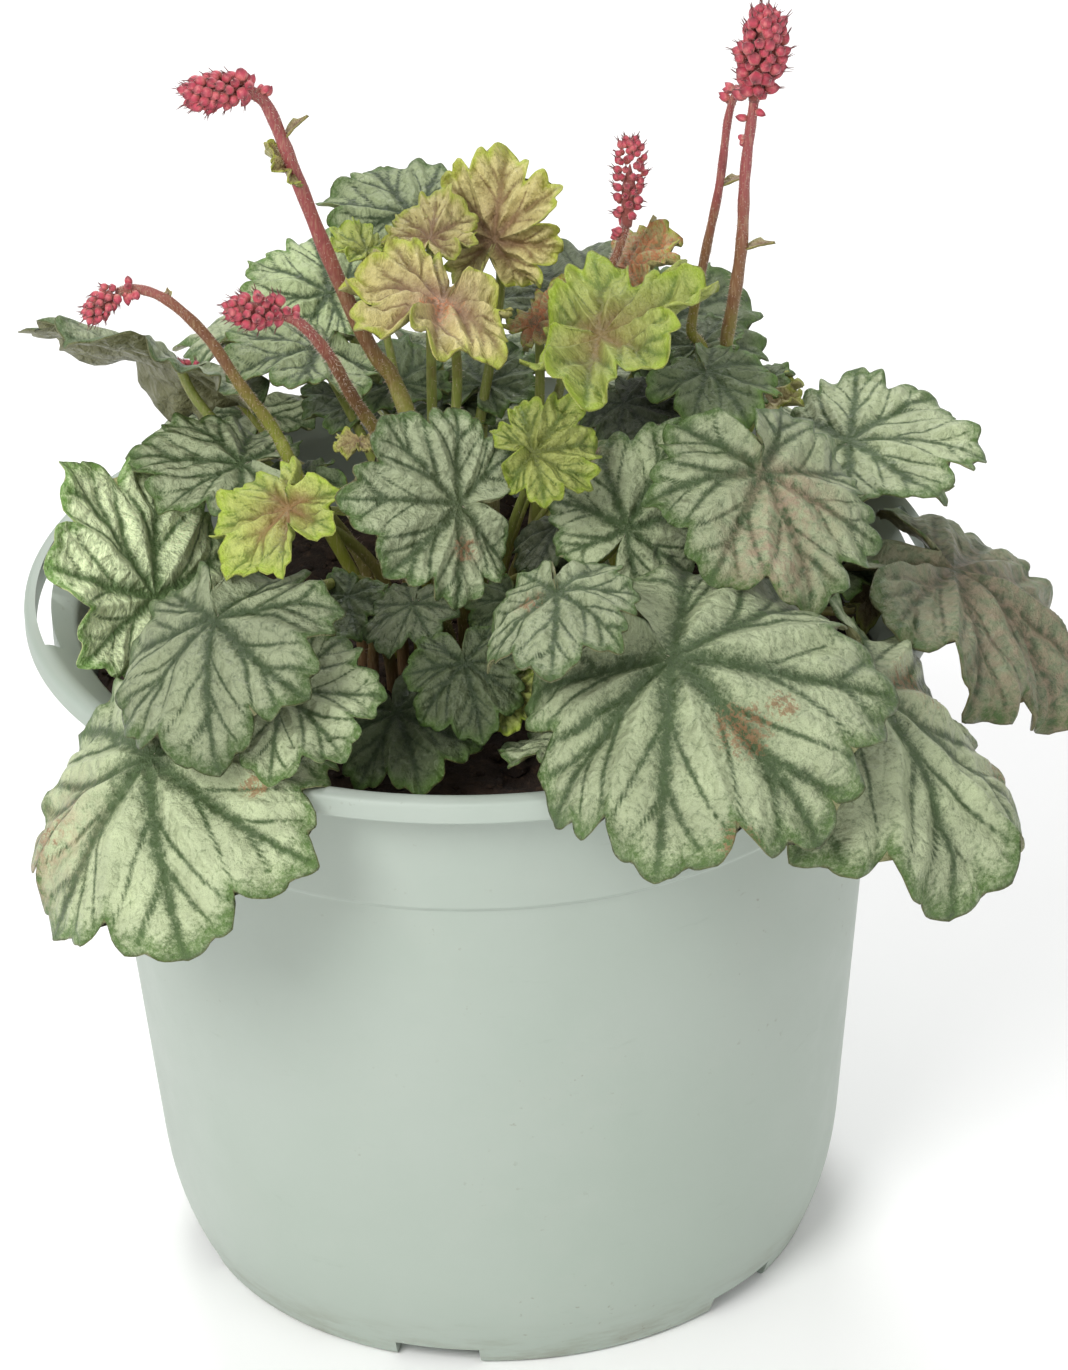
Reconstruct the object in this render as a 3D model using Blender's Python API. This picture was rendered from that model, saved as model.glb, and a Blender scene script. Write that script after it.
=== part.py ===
"""Potted heuchera: a nursery pot, its soil, a rootstock, lobed leaves and budding flower stalks.

Units: metres in the scene, millimetres and degrees in the tables below. +Z is up, the origin is on the
ground under the middle of the pot, and -Y is the side that the plant is usually seen from.
"""

import math
from collections import namedtuple

import bpy
import numpy as np
from mathutils import Vector

MM = 0.001
GAP = 0.35

# Pot, a turned shell with a flanged rim
POT_HEIGHT = 152.0
RIM_RADIUS = 95.0
RIM_BAND = 4.7
LIP_INNER_RADIUS = 91.6
COLLAR_RADIUS = 85.6
SHOULDER_RADIUS = 82.0
SHOULDER_HEIGHT = 120.0
HEEL_RADIUS = 73.0
HEEL_HEIGHT = 19.0
FOOT_RADIUS = 67.0
WALL = 1.6
FLOOR_HEIGHT = 5.0
FLOOR_THICKNESS = 2.0
FOOT_RING_WIDTH = 5.0
PAD_RADIUS = 8.0
POT_SIDES = 36
FOOT_NOTCHES = 6
FOOT_NOTCH_ANGLE = -103.0
FOOT_NOTCH_WIDTH = 18.0
FOOT_NOTCH_HEIGHT = 4.2
DRAIN_RADIUS = 4.5
DRAIN_CIRCLE = 48.0
SLOT_WIDTH = 3.2
SLOT_MIDDLE_RADIUS = 91.0
SLOT_HALF_ANGLE = 15.0

# Soil and rootstock
SOIL_HEIGHT = 130.0
SOIL_MOUND = 5.0
STEM_HOLE_DEPTH = 11.0
CROWN_RADIUS = 7.0
CROWN_TOP = 143.0
CROWN_DEPTH = 26.0

# Radii of the rings on which the stems stand round the rootstock
STEM_RINGS = (12.5, 19.0, 25.5)

# Leaf form. A blade has seven lobes, set every 46 degrees round the point where its stalk joins.
LOBE_STEP = 46.0
LOBE_REACH = (0.66, 0.82, 0.93, 1.00, 0.93, 0.82, 0.66)
BLADE_THICKNESS = 0.8
# The edge runs in over the cleft at the stalk, and every lobe has one broad tooth in its middle.
SINUS_REACH = 0.12
SHOULDER_REACH = 0.52
MIDDLE_TOOTH = 0.38
DIP_POWER = 2.4
TOOTH_POWER = 2.2
BACK_BEND = 0.35
STALK_SIDES = 4
STALK_STEPS = 5
STALK_TAPER = 0.8
STALK_RISE = 0.45
STALK_ARRIVAL = (0.18, 0.22)
FLOWER_SIDES = 6
FLOWER_STEPS = 9
FLOWER_TAPER = 0.68

# A bract's edge as (along, across), in shares of its size, and the triangles of its upper face
BRACT_EDGE = ((0, -0.07), (0.35, -0.2), (0.62, -0.3), (0.7, -0.16), (1, 0), (0.7, 0.16), (0.62, 0.3),
              (0.35, 0.2), (0, 0.07))
BRACT_FACES = ((8, 0, 1), (8, 1, 7), (7, 1, 2), (7, 2, 6), (6, 2, 3), (6, 3, 5), (5, 3, 4))
BRACT_BEND = 0.12

# Buds: where a bud is widest and how wide, in shares of its length, and how a head's core tapers
BUD_WIDEST = 0.45
BUD_HALF_WIDTH = 0.34
CORE_SIDES = 6
CORE_PLACES = (0, 0.2, 0.55, 0.85)
CORE_WIDTHS = (0.24, 0.26, 0.12)
CORE_FOOT = 1.2
SPIRAL_TURN = 137.5

# Any direction that no bud or head points along
ASKEW_BUD = (0.3, 0.5, 0.8)
ASKEW_HEAD = (0.2, 0.9, 0.3)

Kind = namedtuple("Kind", "depth tooth pleat ruffle cup stalk_radius colour")
KINDS = {
    "silver": Kind(0.15, 0.05, 0.035, 0.05, 0.03, 1.3, (0.42, 0.52, 0.37, 1)),
    "green": Kind(0.17, 0.05, 0.045, 0.06, 0.05, 1.2, (0.20, 0.33, 0.13, 1)),
    "lime": Kind(0.24, 0.06, 0.060, 0.08, 0.08, 1.0, (0.42, 0.48, 0.10, 1)),
    "bronze": Kind(0.20, 0.07, 0.070, 0.10, 0.06, 1.2, (0.40, 0.36, 0.14, 1)),
}

Leaf = namedtuple("Leaf", "name kind at heading pitch bank reach bend arch ring detail")
# at: where the stalk joins the blade. heading: where the tip points, seen from above, 0 along +X and -90
# towards the front. pitch: how far the tip points up. bank: how far the left side is lifted. reach: from
# the stalk to the tip. bend and arch: how far the blade curls down towards its tip and its sides.
# ring: which ring of stems it grows from. detail: how finely the blade is built, 3 for a large one in full
# view, 1 for a very small one.
LEAVES = (
    Leaf("leaf_left", "silver", (-66, -26, 163), 155, 60, -4, 33, 10, 0, 3, 3),
    Leaf("leaf_left_front", "silver", (-52, -72, 182), -101, -18, 20, 32, 50, 40, 2, 3),
    Leaf("leaf_left_low", "silver", (-66, -79, 156), -91, -17, 21, 48, 54, 70, 3, 3),
    Leaf("leaf_left_inner", "silver", (-40, -77, 169), -49, -19, 18, 22, 5, 5, 3, 3),
    Leaf("leaf_left_upper", "silver", (-48, -11, 185), 175, 10, -8, 24, 15, 20, 2, 3),
    Leaf("leaf_lime_left", "lime", (-37, -59, 199), -146, -36, 0, 18, 0, 5, 2, 2),
    Leaf("leaf_centre", "silver", (-4, -58, 198), -156, 17, -58, 25, 0, 14, 2, 3),
    Leaf("leaf_lime_centre", "lime", (11, -51, 205), 9, 7, 41, 15, 40, 10, 1, 2),
    Leaf("leaf_front_middle", "silver", (14, -87, 193), -99, -10, 14, 22, 10, 60, 2, 3),
    Leaf("leaf_right_large", "silver", (36, -87, 178), -52, -10, 20, 51, 48, 70, 3, 3),
    Leaf("leaf_right", "silver", (56, -47, 197), -66, -34, -7, 31, 5, 40, 2, 3),
    Leaf("leaf_right_back", "silver", (77, 9, 175), -8, 8, 10, 29, 35, 0, 3, 3),
    Leaf("leaf_right_low", "silver", (75, -69, 159), -56, -25, -19, 52, 43, 49, 3, 3),
    Leaf("leaf_far_right", "silver", (97, -13, 156), -27, -18, -12, 44, 75, 20, 3, 3),
    Leaf("leaf_shrivelled", "bronze", (80, -26, 158), -20, 5, 0, 12, 50, 50, 3, 1),
    Leaf("leaf_folded", "silver", (29, -46, 185), 45, 45, 40, 24, 10, 70, 2, 2),
    Leaf("leaf_grey_middle", "silver", (16, -29, 178), -110, -10, 28, 15, 20, 20, 2, 1),
    Leaf("leaf_dark_middle", "green", (30, -10, 195), -60, -10, 10, 14, 30, 20, 1, 1),
    Leaf("leaf_dark_left", "green", (-18, -31, 162), -97, -15, -5, 12, 20, 20, 3, 2),
    Leaf("leaf_front_green", "green", (-4, -64, 166), -80, -40, 10, 16, 20, 20, 3, 2),
    Leaf("leaf_front_low", "green", (-18, -56, 151), -75, -20, 15, 20, 20, 20, 3, 2),
    Leaf("leaf_front_grey", "silver", (-14, -48, 171), -120, -20, 10, 13, 20, 20, 3, 1),
    Leaf("leaf_lime_small", "lime", (4, -64, 160), -90, -40, 0, 10, 10, 0, 3, 1),
    Leaf("leaf_rim_grey", "silver", (17, -70, 151), -150, 5, 15, 17, 10, 10, 3, 2),
    Leaf("leaf_lime_back", "green", (47, -7, 200), -60, -5, 0, 18, 30, 20, 1, 2),
    Leaf("leaf_olive", "bronze", (57, 6, 185), -30, 30, 0, 13, 20, 20, 1, 1),
    Leaf("leaf_back_left_high", "green", (-30, 46, 196), 150, 18, -15, 22, 20, 15, 2, 3),
    Leaf("leaf_back_left_low", "green", (-32, 16, 197), -150, 14, -5, 22, 30, 15, 2, 3),
    Leaf("leaf_back_top", "green", (-12, 44, 214), 115, 20, 0, 22, 20, 20, 2, 2),
    Leaf("leaf_far_left", "silver", (-60, 16, 194), 172, 22, 34, 37, 10, 25, 3, 3),
    Leaf("leaf_bronze_back", "bronze", (5, 19, 219), 75, 76, -3, 20, 45, 20, 1, 3),
    Leaf("leaf_bronze_small", "bronze", (-8, 10, 224), 80, 25, 0, 13, 10, 20, 1, 1),
    Leaf("leaf_lime_top", "lime", (-21, 12, 221), 150, 25, 0, 9, 10, 0, 1, 1),
    Leaf("leaf_bronze_top", "bronze", (-6, -18, 223), -140, 5, -15, 23, 10, 10, 1, 3),
    Leaf("leaf_orange", "bronze", (13, 4, 207), 20, 40, 0, 12, 10, 20, 1, 1),
    Leaf("leaf_lime_right", "lime", (25, -28, 219), -12, 20, 9, 27, 0, 0, 1, 3),
    Leaf("leaf_back_middle", "green", (22, 46, 194), 75, 10, 0, 27, 30, 30, 2, 2),
    Leaf("leaf_back_right_high", "green", (40, 48, 184), 35, 10, 15, 27, 30, 30, 2, 2),
    Leaf("leaf_back_1", "silver", (78, 42, 161), 24, -15, 0, 30, 35, 25, 3, 2),
    Leaf("leaf_back_2", "silver", (43, 60, 166), 62, -10, 0, 26, 40, 25, 3, 2),
    Leaf("leaf_back_3", "silver", (6, 86, 164), 88, -10, 0, 34, 35, 25, 3, 2),
    Leaf("leaf_back_4", "silver", (-38, 76, 178), 116, -15, 0, 34, 40, 25, 3, 2),
    Leaf("leaf_back_5", "silver", (-50, 58, 163), 120, -5, 0, 26, 50, 25, 3, 2),
    Leaf("leaf_back_6", "silver", (0, 34, 168), 95, 20, 0, 20, 20, 20, 2, 2),
)

Stalk = namedtuple("Stalk", "name route ring thick bracts")
# route: points that the flower stalk passes through above the soil. thick: radius at its foot.
# bracts: for each small leaf on the stalk, the point of the route that it grows from, heading, pitch, size.
STALKS = (
    Stalk("stalk_tall_left", ((-12, -12, 183), (-16, -8, 200), (-21, -8, 209), (-28, -10, 229),
          (-33, -14, 247), (-36, -16, 258), (-39, -18, 267), (-43, -20, 271)), 1, 2.6,
          ((4, 190, 60, 11), (5, 10, 50, 7))),
    Stalk("stalk_middle_left", ((-15, -24, 182), (-19, -29, 198), (-24, -36, 211), (-28, -44, 224),
          (-33, -50, 234), (-38, -52, 238)), 2, 2.2, ((1, 190, 5, 10),)),
    Stalk("stalk_low_left", ((-36, -12, 181), (-41, -12, 193), (-47, -14, 204), (-53, -16, 216),
          (-60, -18, 225), (-66, -18, 228), (-70, -19, 228)), 2, 2.0, ((4, 100, 60, 3),)),
    Stalk("stalk_back_left", ((-46, 32, 173), (-52, 31, 181), (-57, 31, 185)), 3, 1.6, ()),
    Stalk("stalk_short_middle", ((28, 8, 199), (27, 9, 212), (30, 9, 220), (32, 9, 226)), 1, 1.7,
          ((1, 20, 35, 15), (1, 190, 0, 10))),
    Stalk("stalk_tall_right_thin", ((44, 18, 186), (45, 17, 199), (48, 15, 216), (51, 13, 232), (53, 13, 247),
          (55, 12, 254)), 1, 1.7, ((3, 20, 20, 6),)),
    Stalk("stalk_tall_right", ((48, 9, 180), (52, 8, 201), (55, 8, 220), (56, 8, 237), (58, 8, 253)), 2, 2.3,
          ((2, 0, 20, 7),)),
)

Head = namedtuple("Head", "name at towards length width buds")
# at: where the cluster of flower buds starts, towards: where it ends.
HEADS = (
    Head("buds_tall_left", (-44.6, -20.6, 271.3), (-54, -23, 271), 12, 8, 12),
    Head("buds_middle_left", (-38.5, -52.3, 238.2), (-48, -57, 241), 12, 7, 11),
    Head("buds_low_left", (-71.4, -19.5, 227.6), (-77, -21, 223), 8, 6, 7),
    Head("buds_back_left", (-57.5, 31, 185.5), (-65, 31, 188), 8, 5, 6),
    Head("buds_short_middle", (32, 9, 226.6), (33, 9, 241), 15, 6, 10),
    Head("buds_tall_right", (58.1, 8, 253.6), (61, 8, 275), 20, 9, 15),
)


def clear_scene():
    for obj in list(bpy.data.objects):
        bpy.data.objects.remove(obj, do_unlink=True)


def material(name, colour, roughness):
    made = bpy.data.materials.new(name)
    made.use_nodes = True
    shader = made.node_tree.nodes["Principled BSDF"]
    shader.inputs["Base Color"].default_value = colour
    shader.inputs["Roughness"].default_value = roughness
    shader.inputs["Metallic"].default_value = 0.0
    return made


def mesh_object(name, points, faces, finish):
    """An object from points in millimetres."""
    mesh = bpy.data.meshes.new(name)
    mesh.from_pydata([tuple(float(c) * MM for c in p) for p in points], [], faces)
    mesh.validate()
    mesh.update()
    obj = bpy.data.objects.new(name, mesh)
    bpy.context.scene.collection.objects.link(obj)
    mesh.materials.append(finish)
    return obj


def turned(name, profile, sides, finish):
    """A closed solid turned round Z from a closed profile of (radius, height), anticlockwise in r and z."""
    points = []
    rows = []
    for radius, height in profile:
        if radius == 0:
            rows.append([len(points)] * sides)
            points.append((0.0, 0.0, height))
            continue
        rows.append(list(range(len(points), len(points) + sides)))
        for i in range(sides):
            turn = 2 * math.pi * i / sides
            points.append((radius * math.cos(turn), radius * math.sin(turn), height))
    faces = []
    for row, following in zip(rows, rows[1:] + rows[:1]):
        for i in range(sides):
            j = (i + 1) % sides
            corners = [row[i], row[j], following[j], following[i]]
            face = list(dict.fromkeys(corners))
            if len(face) > 2:
                faces.append(face)
    return mesh_object(name, points, faces, finish)


def gather(pieces):
    """Moves loose pieces into a collection of their own, for one Boolean."""
    collection = bpy.data.collections.new("pieces")
    bpy.context.scene.collection.children.link(collection)
    for piece in pieces:
        bpy.context.scene.collection.objects.unlink(piece)
        collection.objects.link(piece)
    return collection


def apply_boolean(obj, operation, pieces):
    """Cuts the pieces out of an object or joins them to it, and removes them."""
    collection = gather(pieces)
    modifier = obj.modifiers.new("boolean", "BOOLEAN")
    modifier.operation = operation
    modifier.solver = "EXACT"
    modifier.operand_type = "COLLECTION"
    modifier.collection = collection
    graph = bpy.context.evaluated_depsgraph_get()
    mesh = bpy.data.meshes.new_from_object(obj.evaluated_get(graph))
    obj.modifiers.clear()
    obj.data = mesh
    for piece in pieces:
        bpy.data.objects.remove(piece, do_unlink=True)
    bpy.data.collections.remove(collection)


def prism(name, outline, low, high, finish):
    """An upright solid over an outline of (x, y)."""
    count = len(outline)
    points = [(x, y, low) for x, y in outline] + [(x, y, high) for x, y in outline]
    faces = [list(range(count))[::-1], list(range(count, 2 * count))]
    for i in range(count):
        j = (i + 1) % count
        faces.append([i, j, count + j, count + i])
    return mesh_object(name, points, faces, finish)


def ring_slot(name, middle_angle, finish):
    """The cutter of one carrying slot, a curved bar through the rim flange."""
    steps = 4
    outline = []
    for radius, order in (
        (SLOT_MIDDLE_RADIUS + SLOT_WIDTH / 2, range(steps + 1)),
        (SLOT_MIDDLE_RADIUS - SLOT_WIDTH / 2, reversed(range(steps + 1))),
    ):
        for i in order:
            turn = math.radians(middle_angle + SLOT_HALF_ANGLE * (2 * i / steps - 1))
            outline.append((radius * math.cos(turn), radius * math.sin(turn)))
    return prism(name, outline, POT_HEIGHT - 12, POT_HEIGHT + 4, finish)


def inner_wall_profile():
    """The inside of the pot from the floor up, which the soil follows."""
    return [
        (HEEL_RADIUS - WALL - 6.0, FLOOR_HEIGHT + FLOOR_THICKNESS),
        (HEEL_RADIUS - WALL, HEEL_HEIGHT),
        (SHOULDER_RADIUS - WALL, SHOULDER_HEIGHT),
    ]


def make_pot(finish):
    top = POT_HEIGHT
    outer = [
        (FOOT_RADIUS - FOOT_RING_WIDTH, 0.0),
        (FOOT_RADIUS, 0.0),
        (HEEL_RADIUS - 2.2, 9.5),
        (HEEL_RADIUS, HEEL_HEIGHT),
        (SHOULDER_RADIUS, SHOULDER_HEIGHT),
        (SHOULDER_RADIUS + 1.2, SHOULDER_HEIGHT + 1.0),
        (COLLAR_RADIUS, top - 8.5),
        (RIM_RADIUS - 1.8, top - RIM_BAND),
        (RIM_RADIUS, top - RIM_BAND),
        (RIM_RADIUS, top - 0.9),
        (RIM_RADIUS - 0.9, top),
        (LIP_INNER_RADIUS + 0.7, top),
        (LIP_INNER_RADIUS, top - 0.7),
        (COLLAR_RADIUS - WALL, top - 4.6),
        (SHOULDER_RADIUS - 0.2, SHOULDER_HEIGHT + 2.6),
    ]
    inner = inner_wall_profile()[::-1] + [(0.0, FLOOR_HEIGHT + FLOOR_THICKNESS)]
    under = [
        (0.0, 0.0),
        (PAD_RADIUS, 0.0),
        (PAD_RADIUS + 1.0, FLOOR_HEIGHT),
        (FOOT_RADIUS - FOOT_RING_WIDTH - 1.0, FLOOR_HEIGHT),
    ]
    pot = turned("pot", outer + inner + under, POT_SIDES, finish)
    cutters = [ring_slot("slot", angle, finish) for angle in (0, 180)]
    for i in range(FOOT_NOTCHES):
        turn = math.radians(FOOT_NOTCH_ANGLE + 360 * i / FOOT_NOTCHES)
        cutters.append(foot_notch(turn, finish))
        cutters.append(drain_hole(turn, finish))
    apply_boolean(pot, "DIFFERENCE", cutters)
    pot.data.shade_smooth()
    pot.data.set_sharp_from_angle(angle=math.radians(35))
    return pot


def foot_notch(turn, finish):
    near = FOOT_RADIUS - FOOT_RING_WIDTH - 3
    far = HEEL_RADIUS + 3
    half = FOOT_NOTCH_WIDTH / 2
    along = Vector((math.cos(turn), math.sin(turn)))
    across = Vector((-math.sin(turn), math.cos(turn)))
    corners = [along * near - across * half, along * far - across * half]
    corners += [along * far + across * half, along * near + across * half]
    return prism("notch", [tuple(c) for c in corners], -2, FOOT_NOTCH_HEIGHT, finish)


def drain_hole(turn, finish):
    sides = 8
    middle = (DRAIN_CIRCLE * math.cos(turn), DRAIN_CIRCLE * math.sin(turn))
    outline = []
    for i in range(sides):
        angle = 2 * math.pi * i / sides
        x = middle[0] + DRAIN_RADIUS * math.cos(angle)
        y = middle[1] + DRAIN_RADIUS * math.sin(angle)
        outline.append((x, y))
    return prism("drain", outline, -2, FLOOR_HEIGHT + FLOOR_THICKNESS + 3, finish)


def soil_top(radius):
    """Height of the soil's surface, a low mound."""
    share = min(1.0, radius / (SHOULDER_RADIUS - WALL))
    return SOIL_HEIGHT + SOIL_MOUND * (1 - share) ** 0.8 * (1 + share)


def stem_hole(root, radius, sides, finish):
    """The cutter of a plain hole that leaves a small gap round a stem with this many sides."""
    radius = (radius + GAP) / math.cos(math.pi / sides)
    outline = []
    for i in range(sides):
        turn = 2 * math.pi * i / sides
        outline.append((root[0] + radius * math.cos(turn), root[1] + radius * math.sin(turn)))
    floor = soil_top(math.hypot(*root)) - STEM_HOLE_DEPTH - GAP
    return prism("stem_hole", outline, floor, CROWN_TOP + 10, finish)


def make_soil(stems, finish):
    wall = [(r - GAP, h) for r, h in inner_wall_profile()]
    wall[0] = (wall[0][0], wall[0][1] + GAP)
    edge = COLLAR_RADIUS - WALL - 2.6
    top = [(edge, soil_top(edge)), (30.0, soil_top(30.0)), (0.0, soil_top(0.0))]
    profile = [(0.0, wall[0][1])] + wall[:-1] + [(wall[-1][0], SHOULDER_HEIGHT - GAP)] + top
    soil = turned("soil", profile, POT_SIDES, finish)
    cutters = [stem_hole(root, radius, sides, finish) for root, radius, sides in stems]
    pit = [(0.0, CROWN_TOP - CROWN_DEPTH - GAP), (CROWN_RADIUS + GAP, CROWN_TOP - CROWN_DEPTH - GAP)]
    pit += [(CROWN_RADIUS + GAP, CROWN_TOP + 10), (0.0, CROWN_TOP + 10)]
    cutters.append(turned("pit", pit, 8, finish))
    apply_boolean(soil, "DIFFERENCE", cutters)
    return soil


def make_crown(finish):
    """The rootstock's neck, a knobbly stub that stands a little out of the soil."""
    low = CROWN_TOP - CROWN_DEPTH
    profile = [
        (0.0, low),
        (CROWN_RADIUS * 0.7, low),
        (CROWN_RADIUS * 0.95, low + 6),
        (CROWN_RADIUS * 0.8, low + 12),
        (CROWN_RADIUS, low + 18),
        (CROWN_RADIUS * 0.75, low + 23),
        (0.0, CROWN_TOP),
    ]
    return turned("crown", profile, 8, finish)


def lobe_values(leaf):
    """The seven lobe radii and angles of one leaf, with its own small differences."""
    draw = np.random.default_rng(sum(map(ord, leaf.name)))
    reach = np.array(LOBE_REACH) * (1 + draw.uniform(-0.05, 0.05, 7))
    angles = LOBE_STEP * np.arange(-3, 4) + draw.uniform(-3, 3, 7)
    return reach, angles, draw.uniform(0, 2 * math.pi, 3)


def outline(leaf, place):
    """Angle and radius of the blade's edge. place runs from 0 at the sinus to 14 round the blade."""
    kind = KINDS[leaf.kind]
    reach, angles, _ = lobe_values(leaf)
    place = np.asarray(place, float)
    tips = 2 * np.arange(7) + 1
    knots = np.concatenate([[0, 0.35], tips, [13.65, 14]])
    turns = np.concatenate([[-180, -163], angles, [163, 180]])
    angle = np.interp(place, knots, turns)
    reaches = np.concatenate([[SINUS_REACH, SHOULDER_REACH], reach, [SHOULDER_REACH, SINUS_REACH]])
    smooth = np.interp(place, knots, reaches)
    from_tip = (place + 1) % 2
    from_tip = np.minimum(from_tip, 2 - from_tip)
    inner = (place > 1) & (place < 13)
    dip = kind.depth * np.where(inner, from_tip, 0) ** DIP_POWER
    side = np.clip((1 - from_tip) / (1 - MIDDLE_TOOTH), 0, 1)
    side_tooth = 1 - np.abs(2 * side - 1) ** TOOTH_POWER
    middle_tooth = 1 - (from_tip / MIDDLE_TOOTH) ** TOOTH_POWER
    scallop = np.where(from_tip > MIDDLE_TOOTH, side_tooth, middle_tooth)
    scallop = np.where(inner, scallop, 0)
    return np.radians(angle), leaf.reach * smooth * (1 - dip - kind.tooth * (1 - scallop))


def blade_point(leaf, place, share):
    """Points of the blade's upper face, in millimetres. share runs from 0 at the stalk to 1 at the edge."""
    kind = KINDS[leaf.kind]
    _, _, phase = lobe_values(leaf)
    angle, edge = outline(leaf, place)
    share = np.asarray(share, float)
    along = share * edge * np.cos(angle)
    across = share * edge * np.sin(angle)
    rise = kind.pleat * np.cos(math.pi * place) * share**1.5
    rise = rise + kind.ruffle * share**2 * np.sin(3 * angle + phase[0])
    rise = rise + 0.5 * kind.ruffle * share**3 * np.sin(5 * angle + phase[1])
    rise = leaf.reach * (rise + kind.cup * share**2)
    return bent(leaf, along, across, rise)


def bent(leaf, along, across, rise):
    """Curls the flat blade down towards its sides and its tip, and puts it in its place."""
    arch = math.radians(leaf.arch) / leaf.reach
    bend = math.radians(leaf.bend) / leaf.reach
    if arch:
        rise = rise - (1 - np.cos(arch * across)) / arch
        across = np.sin(arch * across) / arch
    back = np.where(along > 0, 1.0, BACK_BEND)
    turn = bend * along * back
    if bend:
        sweep = np.sin(turn) / (bend * back)
        drop = -(1 - np.cos(turn)) / (bend * back)
    else:
        sweep = along
        drop = 0 * along
    sweep = sweep + rise * np.sin(turn)
    drop = drop + rise * np.cos(turn)
    tip, side, up = axes(leaf.heading, leaf.pitch, leaf.bank)
    at = np.array(leaf.at, float)
    moves = ((sweep, tip), (across, side), (drop, up))
    return at + sum(np.multiply.outer(amount, way) for amount, way in moves)


def axes(heading, pitch, bank):
    """The directions of a blade's tip, its left side and its upper face, from angles in degrees."""
    heading, pitch, bank = (math.radians(angle) for angle in (heading, pitch, bank))
    forward = np.array([math.cos(heading), math.sin(heading), 0.0])
    level = np.array([-math.sin(heading), math.cos(heading), 0.0])
    tip = math.cos(pitch) * forward + np.array([0.0, 0.0, math.sin(pitch)])
    upright = np.cross(tip, level)
    side = math.cos(bank) * level + math.sin(bank) * upright
    return tip, side, np.cross(tip, side)


def blade_edge(detail):
    """The points of a blade's edge, as places round it."""
    if detail == 3:
        steps = (0, 0.35, 0.75)
    else:
        steps = (0, 0.5)
    edge = []
    for half in range(14):
        if half % 2 == 0:
            edge += [half + s for s in steps]
        else:
            edge += [half] + [half + 1 - s for s in reversed(steps[1:])]
    return np.array(edge)


def edge_faces(edge_count):
    """Triangles between a blade's edge and the ring of 14 points inside it."""
    step = edge_count // 14
    faces = []
    for i in range(14):
        fan = [(i * step + k) % edge_count for k in range(step + 1)]
        near = edge_count + i
        far = edge_count + (i + 1) % 14
        split = (step + 1) // 2
        for k in range(step):
            faces.append([near if k < split else far, fan[k], fan[k + 1]])
        faces.append([near, fan[split], far])
    return faces


def heart_faces(middle, inner):
    """Triangles between the ring of 14 points and the ring of 7."""
    faces = []
    for i in range(7):
        j = (i + 1) % 7
        one, between, two = 2 * i + 1, (2 * i + 2) % 14, (2 * i + 3) % 14
        faces.append([inner + i, middle + one, middle + between])
        faces.append([inner + i, middle + between, inner + j])
        faces.append([inner + j, middle + between, middle + two])
    return faces


def fan_faces(first, count, centre):
    return [[centre, first + i, first + (i + 1) % count] for i in range(count)]


def blade_surface(leaf):
    """Points and triangles of the blade's upper face, the size of its edge, and its innermost ring as its
    first point and the angles of its points."""
    edge = blade_edge(leaf.detail)
    rings = [(edge, 1.0)]
    if leaf.detail > 1:
        rings.append((np.arange(14.0), 0.6))
    if leaf.detail > 2:
        rings.append((np.arange(1.0, 14.0, 2.0), 0.28))
    points = [blade_point(leaf, places, np.full(len(places), share)) for places, share in rings]
    points = np.concatenate(points + [[leaf.at]])
    count = len(edge)
    innermost = len(points) - 1 - len(rings[-1][0])
    turns = outline(leaf, rings[-1][0])[0]
    faces = fan_faces(innermost, len(turns), len(points) - 1)
    if leaf.detail > 1:
        faces += edge_faces(count)
    if leaf.detail > 2:
        faces += heart_faces(count, count + 14)
    return points, faces, count, innermost, turns


def collar_faces(outer, outer_turns, inner, inner_turn):
    """Triangles, seen from below, between a ring of the blade and the ring that its stalk ends in.
    inner_turn: the angle of the stalk ring's first point. Its points are evenly spaced."""
    count = len(outer_turns)
    step = 2 * math.pi / STALK_SIDES
    skipped = round((outer_turns[0] - inner_turn) / step)
    inner_turns = inner_turn + step * np.arange(skipped, skipped + STALK_SIDES + 1)
    outer_turns = np.append(outer_turns, outer_turns[0] + 2 * math.pi)
    moves = [(middle, True) for middle in (outer_turns[1:] + outer_turns[:-1]) / 2]
    moves += [(middle, False) for middle in (inner_turns[1:] + inner_turns[:-1]) / 2]
    faces = []
    here, near = 0, skipped
    for _, outwards in sorted(moves):
        corners = [inner + near % STALK_SIDES, outer + here % count]
        if outwards:
            here += 1
            corners.insert(1, outer + here % count)
        else:
            near += 1
            corners.insert(1, inner + near % STALK_SIDES)
        faces.append(corners)
    return faces


def leaf_mesh(leaf, root):
    """A blade and its stalk as one closed surface."""
    upper, faces, edge_count, innermost, turns = blade_surface(leaf)
    centre = len(upper) - 1
    lower = upper - BLADE_THICKNESS * vertex_normals(upper, faces)
    path = stalk_path(leaf, root)
    radius = KINDS[leaf.kind].stalk_radius
    radii = np.linspace(radius, STALK_TAPER * radius, len(path))
    tip, side, up = axes(leaf.heading, leaf.pitch, leaf.bank)
    tube, tube_faces = tube_mesh(path, radii, STALK_SIDES, up)
    first = len(upper) + centre
    points = np.concatenate([upper, lower[:-1], tube])
    below = centre + 1
    under = [[below + c, below + b, below + a] for a, b, c in faces if centre not in (a, b, c)]
    top = first + len(tube) - STALK_SIDES
    arm = tube[-STALK_SIDES] - path[-1]
    collar = collar_faces(below + innermost, turns, top, math.atan2(arm @ side, arm @ tip))
    wall = []
    for i in range(edge_count):
        j = (i + 1) % edge_count
        wall.append([j, i, below + i])
        wall.append([j, below + i, below + j])
    stalk = [[first + k for k in face] for face in tube_faces[:-1]]
    return points, faces + under + collar + wall + stalk


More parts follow.
